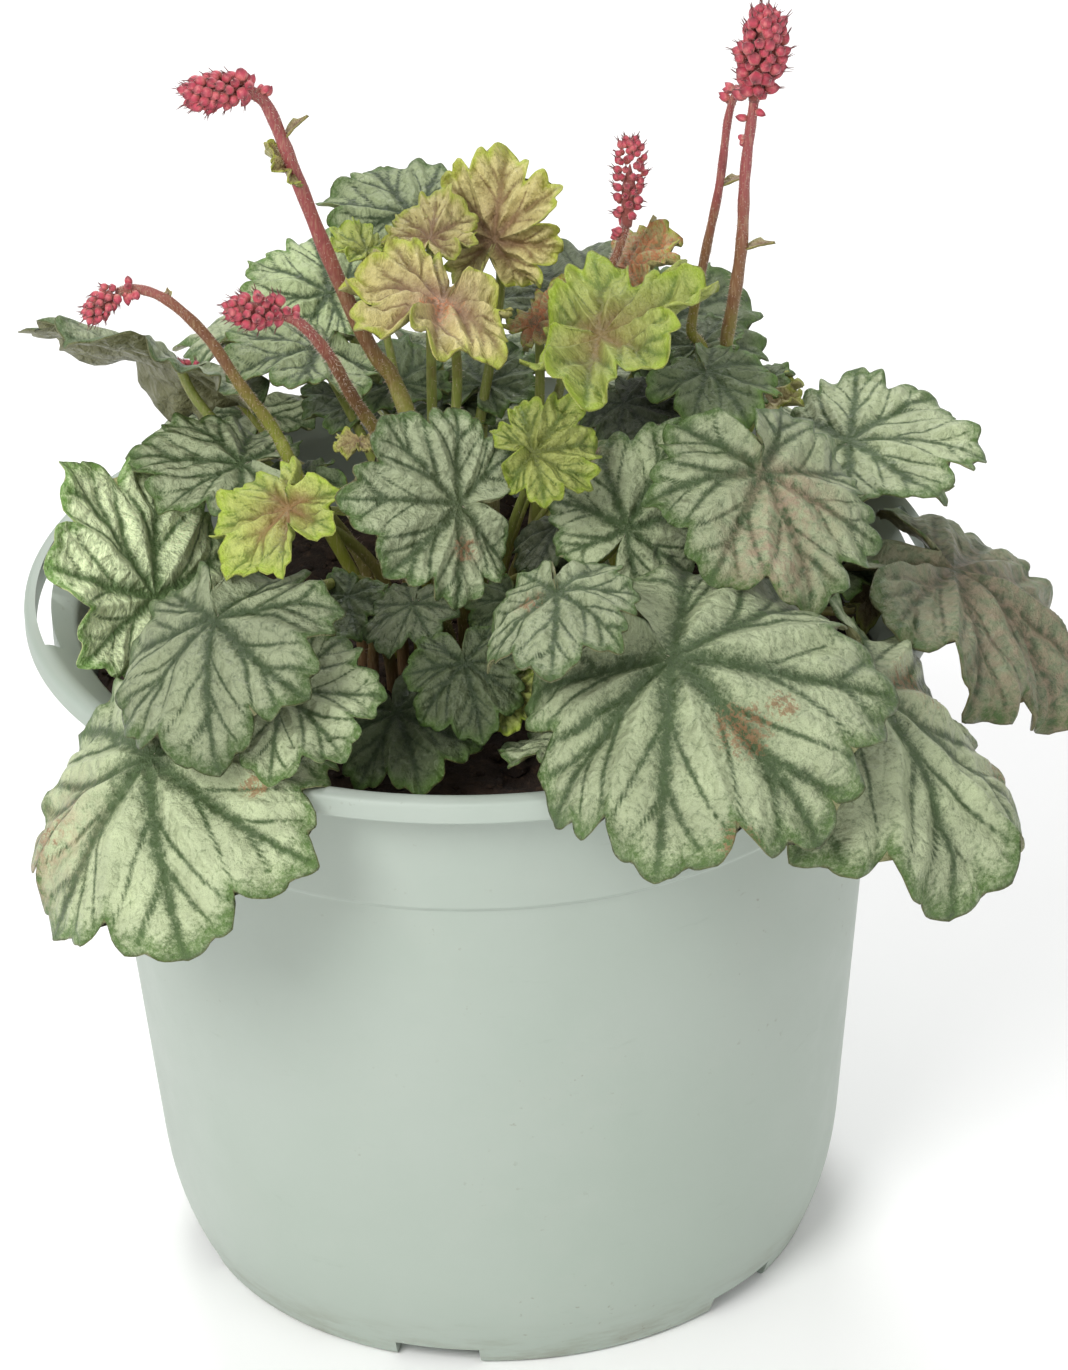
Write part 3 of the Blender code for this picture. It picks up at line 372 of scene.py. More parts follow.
class Finish:
    """Short calls for building one material's nodes."""

    def __init__(self, name):
        self.material = bpy.data.materials.new(name)
        self.material.use_nodes = True
        self.tree = self.material.node_tree
        self.shader = self.tree.nodes["Principled BSDF"]

    def put(self, socket, value):
        if isinstance(value, bpy.types.NodeSocket):
            self.tree.links.new(value, socket)
        else:
            socket.default_value = value

    def add(self, kind, inputs=None, **settings):
        node = self.tree.nodes.new("ShaderNode" + kind)
        for key, value in settings.items():
            setattr(node, key, value)
        for key, value in (inputs or {}).items():
            self.put(node.inputs[key], value)
        return node

    def sums(self, operation, first, second=0.0, third=0.0, clamp=False):
        node = self.add("Math", {0: first, 1: second, 2: third}, operation=operation, use_clamp=clamp)
        return node.outputs[0]

    def times(self, first, second, clamp=False):
        return self.sums("MULTIPLY", first, second, clamp=clamp)

    def plus(self, first, second):
        return self.sums("ADD", first, second)

    def stray(self, base, noise, amount):
        """The base value, moved up and down by a noise."""
        return self.plus(base, self.times(self.sums("SUBTRACT", noise, 0.5), amount))

    def step(self, value, low, high, to_low=0.0, to_high=1.0):
        """A smooth step from low to high."""
        node = self.add("MapRange", {"Value": value, "From Min": low, "From Max": high, "To Min": to_low,
                                     "To Max": to_high}, interpolation_type="SMOOTHSTEP")
        return node.outputs["Result"]

    def mix(self, share, first, second):
        return self.add("Mix", {0: share, 6: first, 7: second}, data_type="RGBA").outputs[2]

    def noise(self, place, scale, detail=3.0, roughness=0.55):
        inputs = {"Vector": place, "Scale": scale, "Detail": detail, "Roughness": roughness}
        return self.add("TexNoise", inputs).outputs["Fac"]

    def net(self, place, scale):
        """Distance from the threads of a wandering net."""
        wander = self.add("TexNoise", {"Vector": place, "Scale": 3.0, "Detail": 2.0}).outputs["Color"]
        bent_place = self.add("Mix", {0: 0.12, 4: place, 5: wander}, data_type="VECTOR").outputs[1]
        node = self.add("TexVoronoi", {"Vector": bent_place, "Scale": scale}, feature="DISTANCE_TO_EDGE")
        return node.outputs["Distance"]

    def attribute(self, name):
        """An attribute's vector and its three numbers."""
        vector = self.add("Attribute", attribute_name=name).outputs["Vector"]
        return (vector, *self.add("SeparateXYZ", {0: vector}).outputs)

    def place(self, *scale):
        """The place on the object, stretched where a scale is given."""
        place = self.add("TexCoord").outputs["Object"]
        return self.add("Mapping", {"Vector": place, "Scale": scale}).outputs[0] if scale else place

    def height(self):
        return self.add("SeparateXYZ", {0: self.place()}).outputs[2]

    def bump(self, height, distance, strength=1.0):
        node = self.add("Bump", {"Height": height, "Distance": distance, "Strength": strength})
        return node.outputs["Normal"]

    def done(self, colour, roughness, normal=None, **values):
        self.put(self.shader.inputs["Base Color"], colour)
        self.put(self.shader.inputs["Roughness"], roughness)
        if normal is not None:
            self.put(self.shader.inputs["Normal"], normal)
        for key, value in values.items():
            self.shader.inputs[key.replace("_", " ")].default_value = value
        return self.material


def leaf_finish(kind):
    """Attributes: form is vein band, closeness to the edge, underside. The second attribute is silver,
    lightness and centre tint; the lightness is partly the leaf's own colour and partly painted light and shade,
    darker for a leaf in shade and lighter for a lit or backlit one. marks is scar, pink tint, wear. flat is the
    place on the flattened blade."""
    paint = PAINTS[kind]
    f = Finish("leaf_" + kind + "_fine")
    _, vein, edge, under = f.attribute("form")
    # light is painted light and shade for the whole leaf, partly the leaf's own colour
    _, silver, light, tint = f.attribute("tone")
    _, scar, pink, wear = f.attribute("marks")
    flat = f.attribute("flat")[0]
    broad = f.noise(flat, 1.1, 4.0, 0.6)
    middle = f.noise(flat, 4.5, 4.0, 0.65)
    blotch = f.noise(flat, 9.0, 5.0, 0.75)
    grain = f.noise(flat, 24.0, 3.0, 0.75)
    fine = f.noise(flat, 60.0, 2.0, 0.6)
    net = f.net(flat, 3.4)
    bands = f.sums("MAXIMUM", vein, f.times(f.step(net, 0.0, 0.16, 1.0, 0.0), 0.34))
    ground = f.times(f.sums("SUBTRACT", 1.0, bands), f.step(edge, 0.25, 0.9, 1.0, 0.3))
    for noise, amount in ((middle, 0.8), (blotch, 0.7), (grain, 0.9)):
        ground = f.stray(ground, noise, amount)
    green = f.mix(f.step(f.plus(edge, f.times(middle, 0.3)), 0.35, 0.95), paint.vein, paint.margin)
    green = f.mix(f.times(vein, 0.7), green, paint.vein)
    colour = f.mix(f.times(f.step(ground, 0.05, 0.95), silver, clamp=True), green, paint.pale)
    heart = f.step(f.stray(f.sums("POWER", edge, 0.2), middle, 0.5), 0.15, 0.85, 1.0, 0.0)
    heart = f.times(heart, f.sums("MULTIPLY_ADD", vein, 0.5, 0.5))
    colour = f.mix(f.times(heart, tint, clamp=True), colour, paint.centre)
    colour = f.mix(f.times(pink, f.step(middle, 0.35, 0.65)), colour, shade(176, 150, 126))
    spots = f.step(f.times(scar, f.step(blotch, 0.36, 0.66)), 0.2, 0.5)
    colour = f.mix(f.times(spots, 0.75), colour, paint.scar)
    lip = f.times(f.step(edge, 0.93, 1.0), 0.6)
    colour = f.mix(lip, colour, f.mix(wear, paint.margin, shade(104, 72, 48)))
    back = f.mix(f.times(vein, 0.5), paint.under, shade(168, 168, 124))
    back = f.mix(f.times(pink, 0.5), back, shade(146, 112, 90))
    colour = f.mix(under, colour, back)
    # The leaf's lightness, partly painted light and shade, times a mottle that differs at random
    gain = f.times(light, f.step(broad, 0.25, 0.8, 0.84, 1.12))
    gain = f.times(gain, f.step(fine, 0.3, 0.75, 0.84, 1.15))
    gain = f.add("CombineXYZ", {0: gain, 1: gain, 2: gain}).outputs[0]
    colour = f.add("VectorMath", {0: colour, 1: gain}, operation="MULTIPLY").outputs[0]
    relief = f.plus(f.times(grain, 0.3), f.times(fine, 0.12))
    relief = f.plus(relief, f.times(f.step(net, 0.0, 0.5), 0.7))
    normal = f.bump(f.sums("MULTIPLY_ADD", middle, 1.6, relief), 0.0009)
    return f.done(colour, f.step(grain, 0.2, 0.8, 0.30, 0.48), normal, Specular_IOR_Level=0.45)


def stalk_finish(name, low_colour, middle_colour, high_colour, low, high):
    """A stalk whose colour turns from low_colour over middle_colour to high_colour between two heights in
    metres."""
    f = Finish(name)
    patches = f.noise(f.place(), 220.0, 3.0)
    streaks = f.noise(f.place(1.0, 1.0, 0.12), 2600.0, 2.0)
    level = f.stray(f.height(), patches, 0.02)
    middle = 0.5 * (low + high)
    colour = f.mix(f.step(level, low, middle), low_colour, middle_colour)
    colour = f.mix(f.step(level, middle, high), colour, high_colour)
    colour = f.mix(f.step(streaks, 0.45, 0.75, 0.0, 0.28), colour, shade(206, 186, 150))
    colour = f.mix(f.step(patches, 0.52, 0.75, 0.0, 0.35), colour, shade(96, 52, 46))
    return f.done(colour, 0.5, f.bump(streaks, 0.0001, 0.7))


def bud_finish():
    """Attribute form is the share of the bud's length, nothing, and how dark it is."""
    f = Finish("flower_buds_fine")
    _, share, _, dark = f.attribute("form")
    grain = f.noise(f.place(), 900.0, 3.0)
    colour = f.mix(f.step(share, 0.0, 0.6), shade(172, 104, 88), shade(182, 62, 82))
    colour = f.mix(f.step(grain, 0.42, 0.72, 0.0, 0.6), colour, shade(222, 134, 130))
    colour = f.mix(f.step(share, 0.62, 1.0, 0.0, 0.8), colour, shade(104, 32, 44))
    colour = f.mix(dark, colour, shade(104, 48, 46))
    return f.done(colour, 0.55, f.bump(grain, 0.0003, 0.8), Sheen_Weight=0.2)


def hair_finish():
    f = Finish("hair")
    grain = f.noise(f.place(), 700.0, 2.0)
    return f.done(f.mix(grain, shade(206, 170, 156), shade(236, 226, 210)), 0.6)


def plastic_finish():
    f = Finish("pot_plastic_fine")
    place = f.place()
    broad = f.noise(place, 9.0, 4.0, 0.6)
    cloud = f.noise(place, 42.0, 4.0, 0.65)
    speck = f.noise(place, 520.0, 2.0, 0.6)
    streaks = f.noise(f.place(1.0, 1.0, 5.0), 60.0, 5.0, 0.7)
    colour = f.mix(f.step(broad, 0.3, 0.7), shade(166, 176, 167), shade(160, 172, 161))
    colour = f.mix(f.step(cloud, 0.45, 0.75, 0.0, 0.35), colour, shade(170, 178, 169))
    colour = f.mix(f.step(streaks, 0.62, 0.75, 0.0, 0.3), colour, shade(144, 154, 142))
    dust = f.times(f.step(speck, 0.66, 0.74), f.step(cloud, 0.52, 0.66))
    colour = f.mix(f.times(dust, 0.5), colour, shade(128, 126, 112))
    foot = f.times(f.step(f.height(), 0.0, 0.014, 1.0, 0.0), f.step(streaks, 0.4, 0.7))
    colour = f.mix(f.times(foot, 0.55), colour, shade(120, 116, 96))
    relief = f.plus(f.times(speck, 0.4), f.times(streaks, 0.6))
    rough = f.step(cloud, 0.3, 0.7, 0.42, 0.55)
    return f.done(colour, rough, f.bump(relief, 0.00012, 0.6), Specular_IOR_Level=0.5)


def soil_finish():
    f = Finish("soil_fine")
    broad = f.noise(f.place(), 60.0, 5.0, 0.7)
    grain = f.noise(f.place(), 420.0, 4.0, 0.7)
    colour = f.mix(f.step(broad, 0.35, 0.7), shade(38, 28, 22), shade(70, 52, 40))
    colour = f.mix(f.step(grain, 0.5, 0.75, 0.0, 0.7), colour, shade(96, 74, 56))
    colour = f.mix(f.step(grain, 0.25, 0.4, 0.8, 0.0), colour, shade(18, 13, 11))
    return f.done(colour, 0.95, f.bump(grain, 0.0012, 0.9))


def bark_finish():
    f = Finish("rootstock_fine")
    grain = f.noise(f.place(1.0, 1.0, 0.35), 500.0, 5.0, 0.7)
    rings = f.noise(f.place(0.3, 0.3, 1.6), 420.0, 3.0)
    colour = f.mix(f.step(grain, 0.35, 0.7), shade(52, 36, 28), shade(104, 76, 56))
    colour = f.mix(f.step(rings, 0.5, 0.65, 0.0, 0.5), colour, shade(34, 24, 20))
    return f.done(colour, 0.9, f.bump(f.plus(grain, rings), 0.001, 0.8))


def floor_finish():
    f = Finish("floor")
    grain = f.noise(f.place(), 14.0, 2.0)
    return f.done(f.mix(grain, shade(250, 250, 250), shade(246, 246, 246)), 0.6, Specular_IOR_Level=0.2)


def mesh_object(name, points, faces, finishes, slots=None, smooth=True):
    """An object from points in millimetres. slots gives each face's place in the list of finishes."""
    mesh = bpy.data.meshes.new(name)
    mesh.from_pydata((np.asarray(points, float) * MM).tolist(), [], faces)
    for finish in finishes:
        mesh.materials.append(finish)
    if slots is not None:
        mesh.polygons.foreach_set("material_index", np.asarray(slots, np.int32))
    if smooth:
        mesh.shade_smooth()
    mesh.update()
    return link(bpy.data.objects.new(name, mesh))


def polar(radius, degrees):
    turn = math.radians(degrees)
    return radius * math.cos(turn), radius * math.sin(turn)


def link(obj):
    bpy.context.scene.collection.objects.link(obj)
    return obj


def keep(obj, node):
    """The piece rides on the one body and stands for its CAD node."""
    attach(obj, "root")
    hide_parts(node)
    return obj


def name_number(name):
    return sum(map(ord, name))


def draws(name, start=0):
    """Random numbers that belong to one name and one use of it."""
    return np.random.default_rng(start + name_number(name))


def unit(vector):
    return vector / np.linalg.norm(vector)


class Heap:
    """Gathers points, faces, finishes and attributes of the parts that make one piece."""

    def __init__(self):
        self.points, self.faces, self.slots = [], [], []
        self.values = {name: [] for name in ("form", "tone", "marks", "flat")}
        self.count = 0

    def add(self, points, faces, slot, **given):
        points = np.asarray(points, float)
        self.points.append(points)
        self.faces += [[self.count + k for k in face] for face in faces]
        self.slots += [slot] * len(faces)
        for name, parts in self.values.items():
            parts.append(np.broadcast_to(np.asarray(given.get(name, (0.0, 0.0, 0.0)), float), points.shape))
        self.count += len(points)

    def build(self, name, finishes):
        points = np.clip(np.concatenate(self.points), BOX_LOW, BOX_HIGH)
        obj = mesh_object(name, points, self.faces, finishes, self.slots)
        for key, parts in self.values.items():
            made = obj.data.attributes.new(key, "FLOAT_VECTOR", "POINT")
            made.data.foreach_set("vector", np.concatenate(parts).astype(np.float32).ravel())
        return obj


def lobe_values(leaf):
    """The lobe radii and angles of one leaf, with its own small differences, and the phases of its ruffles."""
    draw = draws(leaf.name)
    reach = np.array(LOBE_REACH) * (1 + draw.uniform(-0.05, 0.05, LOBES))
    angles = LOBE_STEP * np.arange(-3, 4) + draw.uniform(-3, 3, LOBES)
    return reach, angles, draw.uniform(0, 2 * math.pi, 3)


def outline(leaf, place, fine=False):
    """Angle and radius of the blade's edge. place runs from 0 at the sinus to 14 round the blade. fine adds
    the tiny points of the teeth, which the CAD blades don't have."""
    kind = KINDS[leaf.kind]
    reach, angles, _ = lobe_values(leaf)
    place = np.asarray(place, float)
    knots = np.concatenate([[0, 0.35], 2 * np.arange(LOBES) + 1, [13.65, 14]])
    angle = np.radians(np.interp(place, knots, np.concatenate([[-180, -163], angles, [163, 180]])))
    sinus = [SINUS_REACH, SHOULDER_REACH]
    smooth = np.interp(place, knots, np.concatenate([sinus, reach, sinus[::-1]]))
    from_tip = np.abs((place + 1) % 2)
    from_tip = np.minimum(from_tip, 2 - from_tip)
    inner = (place > 1) & (place < 13)
    dip = kind.depth * np.where(inner, from_tip, 0) ** DIP_POWER
    side = np.clip((1 - from_tip) / (1 - MIDDLE_TOOTH), 0, 1)
    scallop = np.where(from_tip > MIDDLE_TOOTH, 1 - np.abs(2 * side - 1) ** TOOTH_POWER,
                       1 - (from_tip / MIDDLE_TOOTH) ** TOOTH_POWER)
    scallop = np.where(inner, scallop, 0)
    if not fine:
        return angle, leaf.reach * smooth * (1 - dip - kind.tooth * (1 - scallop))
    draw = draws(leaf.name, 3)
    number = np.floor(place * 1.5 + 0.5).astype(int) % TEETH
    tooth = kind.tooth * draw.uniform(0.7, 1.9, TEETH)[number]
    small = 0.5 - 0.5 * np.abs(np.cos(0.5 * math.pi * place * 4.5 + draw.uniform(0, 3)))
    peaks = np.exp(-((from_tip / 0.06) ** 2)) + np.exp(-(((from_tip - 0.69) / 0.05) ** 2))
    points = 0.010 * np.where(inner, peaks, 0) - 0.022 * small
    swell = 0.025 * np.sin(3 * angle + draw.uniform(0, 6)) - 0.01
    return angle, leaf.reach * smooth * (1 - dip - tooth * (1 - scallop) + points + swell)


def vein_lines(leaf):
    """The blade's veins on the flattened blade: rows of start, end and half width."""
    draw = draws(leaf.name, 7)
    lines = []
    for place in range(1, 2 * LOBES, 2):
        angle, edge = outline(leaf, place)
        tip = float(edge) * np.array([math.cos(angle), math.sin(angle)])
        lean = draw.uniform(-0.04, 0.04) * leaf.reach * np.array([-math.sin(angle), math.cos(angle)])
        main = [tip * s + lean * math.sin(math.pi * s) for s in np.linspace(0, 0.97, VEIN_PARTS + 1)]
        strong = draw.uniform(0.75, 1.25)
        for i in range(VEIN_PARTS):
            lines.append((main[i], main[i + 1], leaf.reach * strong * (0.058 - 0.0056 * i)))
        for start, off, width in SIDE_VEINS:
            for way in (-1, 1):
                end_place = place + way * off * draw.uniform(0.88, 1.0)
                if not 0.2 < end_place < 13.8:
                    continue
                end_angle, end_edge = outline(leaf, end_place)
                end = 0.90 * float(end_edge) * np.array([math.cos(end_angle), math.sin(end_angle)])
                at = start * draw.uniform(0.76, 1.2)
                width *= draw.uniform(0.5, 1.25)
                first = tip * at + lean * math.sin(math.pi * at)
                bow = first + 0.45 * (end - first) + 0.10 * (tip - first)
                path = [(1 - s) ** 2 * first + 2 * s * (1 - s) * bow + s * s * end
                        for s in np.linspace(0, 1, SIDE_VEIN_PARTS + 1)]
                for i in range(SIDE_VEIN_PARTS):
                    lines.append((path[i], path[i + 1], leaf.reach * width * (1 - 0.17 * i)))
    return lines


def vein_fields(leaf, along, across):
    """For each point of the flattened blade, how much vein band covers it and its distance from a vein."""
    points = np.stack([along.ravel(), across.ravel()], axis=1)
    nearest = np.full(len(points), 1e9)
    ratio = nearest.copy()
    for start, end, width in vein_lines(leaf):
        way = end - start
        t = np.clip(((points - start) @ way) / (way @ way + 1e-12), 0, 1)
        gap = np.linalg.norm(points - start - t[:, None] * way, axis=1)
        nearest = np.minimum(nearest, gap)
        ratio = np.minimum(ratio, gap / width)
    band = np.exp(-0.8 * ratio**1.35)
    return band.reshape(along.shape), nearest.reshape(along.shape)


def bent(leaf, along, across, rise):
    """Curls the flat blade down towards its sides and its tip, and puts it in its place."""
    arch = math.radians(leaf.arch) / leaf.reach
    bend = math.radians(leaf.bend) / leaf.reach
    if arch:
        rise = rise - (1 - np.cos(arch * across)) / arch
        across = np.sin(arch * across) / arch
    back = np.where(along > 0, 1.0, BACK_BEND)
    turn = bend * along * back
    sweep, drop = along, 0 * along
    if bend:
        sweep = np.sin(turn) / (bend * back)
        drop = -(1 - np.cos(turn)) / (bend * back)
    sweep = sweep + rise * np.sin(turn)
    drop = drop + rise * np.cos(turn)
    tip, side, up = leaf_axes(leaf)
    return (np.array(leaf.at, float) + np.multiply.outer(sweep, tip) + np.multiply.outer(across, side)
            + np.multiply.outer(drop, up))


def leaf_axes(leaf):
    heading, pitch, bank = (math.radians(v) for v in (leaf.heading, leaf.pitch, leaf.bank))
    ahead = np.array([math.cos(heading), math.sin(heading), 0.0])
    level = np.array([-math.sin(heading), math.cos(heading), 0.0])
    tip = math.cos(pitch) * ahead + np.array([0.0, 0.0, math.sin(pitch)])
    upright = np.cross(tip, level)
    side = math.cos(bank) * level + math.sin(bank) * upright
    return tip, side, np.cross(tip, side)


def crinkle(leaf, along, across):
    """Small waves of the blade, from a few sines of its own directions."""
    draw = draws(leaf.name, 11)
    total = np.zeros_like(along)
    for size in (0.55, 0.32, 0.2, 0.13):
        for _ in range(2):
            turn = draw.uniform(0, 2 * math.pi)
            phase = draw.uniform(0, 2 * math.pi)
            wave = (along * math.cos(turn) + across * math.sin(turn)) / (size * leaf.reach)
            total += size * np.sin(2 * math.pi * wave + phase)
    return total


def blade(leaf):
    """The fine blade's grid of points, with its attributes form and flat."""
    kind = KINDS[leaf.kind]
    around, rings = GRIDS[leaf.detail]
    _, _, phase = lobe_values(leaf)
    place = 14 * np.arange(around) / around
    angle, edge = outline(leaf, place, fine=True)
    share = (np.arange(1, rings + 1) / rings)[:, None]
    along = share * edge * np.cos(angle)
    across = share * edge * np.sin(angle)
    band, nearest = vein_fields(leaf, along, across)
    rise = kind.pleat * np.cos(math.pi * place) * share**1.5
    rise = rise + kind.ruffle * share**2 * np.sin(3 * angle + phase[0])
    rise = rise + 0.5 * kind.ruffle * share**3 * np.sin(5 * angle + phase[1])
    rise = leaf.reach * (rise + kind.cup * share**2)
    puff = 1 - np.exp(-((nearest / (PUFF_WIDTH * leaf.reach)) ** 2))
    rise = rise + leaf.reach * kind.quilt * puff * (1 - 0.5 * share**6)
    waves = crinkle(leaf, along, across) * np.minimum(1, 2 * share)
    rise = rise + CRINKLE * kind.quilt * leaf.reach * waves
    edge_wave = np.sin(11 * angle + phase[2]) + 0.7 * np.sin(19 * angle + phase[0]) + 0.4 * np.sin(31 * angle)
    rise = rise + 0.5 * kind.ruffle * leaf.reach * edge_wave * share**5
    rise = rise - 0.05 * leaf.reach * kind.curl * share**14
    form = np.stack([band, np.broadcast_to(share, band.shape) ** 5, 0 * band], axis=-1)
    own_layer = 3.7 * (name_number(leaf.name) % 97)
    flat = np.stack([along / 10, across / 10, 0 * along + own_layer], axis=-1)
    return bent(leaf, along, across, rise), form, flat


def grid_normals(points):
    over = np.gradient(points, axis=0)
    round_ = np.roll(points, -1, axis=1) - np.roll(points, 1, axis=1)
    normals = np.cross(over, round_)
    return normals / np.linalg.norm(normals, axis=-1, keepdims=True)


def ring_faces(first, second, count, flip=False):
    """Quads between two rings of the same size. Seen from the side that they face, first is inside."""
    faces = []
    for i in range(count):
        j = (i + 1) % count
        face = [first + i, second + i, second + j, first + j]
        faces.append(face[::-1] if flip else face)
    return faces


def wall_faces(rings, sides):
    """Quads between rings that follow each other along a tube."""
    faces = []
    for ring in range(rings - 1):
        faces += ring_faces(ring * sides, (ring + 1) * sides, sides, flip=True)
    return faces


def add_blade(heap, leaf, tone):
    """The blade as a closed body. Its underside has half as many rings and points round it as its top."""
    points, form, flat = blade(leaf)
    rings, around = points.shape[:2]
    centre_up = leaf_axes(leaf)[2]
    centre = np.array(leaf.at, float)
    thick = THICKNESS * np.ones(rings)
    thick[-1] = EDGE_THICKNESS
    picked = list(range(rings - 1, -1, -2))[::-1]
    low = points[picked][:, ::2] - grid_normals(points)[picked][:, ::2] * thick[picked][:, None, None]
    half = around // 2
    faces = [[rings * around, i, (i + 1) % around] for i in range(around)]
    for ring in range(rings - 1):
        faces += ring_faces(ring * around, (ring + 1) * around, around)
    start = rings * around + 1
    last = start + len(picked) * half
    faces += [[last, start + (i + 1) % half, start + i] for i in range(half)]
    for ring in range(len(picked) - 1):
        faces += ring_faces(start + ring * half, start + (ring + 1) * half, half, flip=True)
    top_edge = (rings - 1) * around
    low_edge = start + (len(picked) - 1) * half
    for i in range(half):
        a, b, c = top_edge + 2 * i, top_edge + 2 * i + 1, top_edge + (2 * i + 2) % around
        d, e = low_edge + i, low_edge + (i + 1) % half
        faces += [[b, a, d], [b, d, e], [c, b, e]]
    form_low = form[picked][:, ::2].copy()
    form_low[..., 2] = 1.0
    middle = [flat[0].mean(axis=0)]
    points = [points.reshape(-1, 3), [centre], low.reshape(-1, 3), [centre - THICKNESS * centre_up]]
    forms = [form.reshape(-1, 3), [[1.0, 0.0, 0.0]], form_low.reshape(-1, 3), [[1.0, 0.0, 1.0]]]
    flats = np.concatenate([flat.reshape(-1, 3), middle, flat[picked][:, ::2].reshape(-1, 3), middle])
    heap.add(np.concatenate(points), faces, 0, form=np.concatenate(forms), flat=flats, tone=tone,
             marks=blade_marks(leaf, flats))


def blade_marks(leaf, flats):
    along = flats[:, 0] * 10 / leaf.reach
    across = flats[:, 1] * 10 / leaf.reach
    marks = np.zeros((len(flats), 3))
    for x, y, radius, scar, pink in SPOTS.get(leaf.name, ()):
        near = np.exp(-(((along - x) ** 2 + (across - y) ** 2) / radius**2))
        marks[:, 0] = np.maximum(marks[:, 0], scar * near)
        marks[:, 1] = np.maximum(marks[:, 1], pink * near)
    marks[:, 2] = (name_number(leaf.name) % 5) / 5
    return marks


def directions(path):
    """The way that a path runs at each of its points."""
    along = np.gradient(path, axis=0)
    return along / np.linalg.norm(along, axis=1, keepdims=True)


def circle(middle, sizes, turns, first, second):
    """A ring of points round a place, in the plane of two directions."""
    return middle + sizes[:, None] * (np.cos(turns)[:, None] * first + np.sin(turns)[:, None] * second)


def tube(path, radii, sides, flute=0.0):
    """A closed tube along a path, its rings turned as little as possible."""
    path = np.asarray(path, float)
    reference = np.array([1.0, 0.0, 0.0])
    turns = 2 * math.pi * np.arange(sides) / sides
    rings = []
    for place, direction, radius in zip(path, directions(path), radii):
        reference = unit(reference - direction * (reference @ direction))
        other = np.cross(direction, reference)
        size = radius * (1 + flute * np.cos(3 * turns))
        rings.append(circle(place, size, turns, reference, other))
    faces = [list(range(sides))[::-1]] + wall_faces(len(path), sides)
    faces.append([(len(path) - 1) * sides + i for i in range(sides)])
    return np.concatenate(rings), faces


def curve_points(start, leave, arrive, end, steps):
    share = np.linspace(0, 1, steps)[:, None]
    return ((1 - share) ** 3 * start + 3 * (1 - share) ** 2 * share * leave
            + 3 * (1 - share) * share**2 * arrive + share**3 * end)


def soil_top(radius):
    """Height of the soil's surface, a low mound."""
    share = min(1.0, radius / (SHOULDER_RADIUS - WALL))
    return SOIL_HEIGHT + SOIL_MOUND * (1 - share) ** 0.8 * (1 + share)


def stem_start(root, rise):
    """The stem's foot in its hole in the soil, and a place this far above the surface."""
    surface = soil_top(math.hypot(*root))
    return np.array([*root, surface - STEM_HOLE_DEPTH]), np.array([*root, surface + rise])


def stalk_path(leaf, root, steps):
    """Up out of the soil, then in a curve to the underside of the blade."""
    tip, _, up = leaf_axes(leaf)
    foot, start = stem_start(root, 1.0)
    end = np.array(leaf.at, float) - CAD_THICKNESS * up
    reach = np.linalg.norm(end - start)
    leave = start + np.array([0.0, 0.0, 0.45 * reach])
    arrive = end - reach * (0.18 * tip + 0.22 * up)
    last = np.array(leaf.at, float) - 0.5 * THICKNESS * up
    return np.concatenate([[foot], curve_points(start, leave, arrive, end, steps), [last]])


def hairs(path, radii, count, length, draw, skip=0.0):
    """Thin three-sided spikes that stand on a stalk."""
    path = np.asarray(path, float)
    along = directions(path)
    points, faces = [], []
    for _ in range(count):
        at = draw.uniform(skip, 1) * (len(path) - 1)
        k = min(int(at), len(path) - 2)
        t = at - k
        place = path[k] * (1 - t) + path[k + 1] * t
        radius = radii[k] * (1 - t) + radii[k + 1] * t
        out = unit(np.cross(along[k], draw.normal(size=3)))
        lean = unit(out + 0.35 * draw.normal(size=3))
        side = np.cross(out, along[k])
        base = place + out * radius * 0.96
        first = len(points)
        points += [base + HAIR_RADIUS * side, base - HAIR_RADIUS * side, base + HAIR_RADIUS * along[k],
                   base + lean * length * draw.uniform(0.6, 1.2)]
        faces += [[first + corner for corner in face] for face in HAIR_FACES]
    return points, faces


def make_leaf(leaf, root, finishes):
    heap = Heap()
    add_blade(heap, leaf, LEAF_TONES_AND_PAINTED_LIGHT.get(leaf.name, TONES[leaf.kind]))
    path = stalk_path(leaf, root, 26)
    radius = KINDS[leaf.kind].stalk_radius
    radii = np.interp(np.arange(len(path)), [0, len(path) - 1], [radius, STALK_TAPER * radius])
    heap.add(*tube(path, radii, 10, 0.05), 1)
    heap.add(*hairs(path, radii, LEAF_HAIRS, 1.0, draws(leaf.name, 23), 0.1), 2)
    names = ("leaf_" + leaf.kind, "petiole", "hair")
    piece = heap.build("fine_" + leaf.name, [finishes[name] for name in names])
    return keep(piece, leaf.name)


def smooth_route(points, steps):
    """Points read at even steps from a smooth curve through the route's own points."""
    points = np.asarray(points, float)
    ends = np.concatenate([[2 * points[0] - points[1]], points, [2 * points[-1] - points[-2]]])
    along = []
    for share in np.linspace(0, len(points) - 1, steps):
        first = min(int(share), len(points) - 2)
        t = share - first
        a, b, c, d = ends[first:first + 4]
        along.append(0.5 * (2 * b + (c - a) * t + (2 * a - 5 * b + 4 * c - d) * t**2
                            + (3 * b - a - 3 * c + d) * t**3))
    return np.array(along)


def flower_path(stalk, root, steps):
    foot, start = stem_start(root, 2.0)
    route = np.concatenate([[start], np.asarray(stalk.route, float)])
    return np.concatenate([[foot], smooth_route(route, steps)])


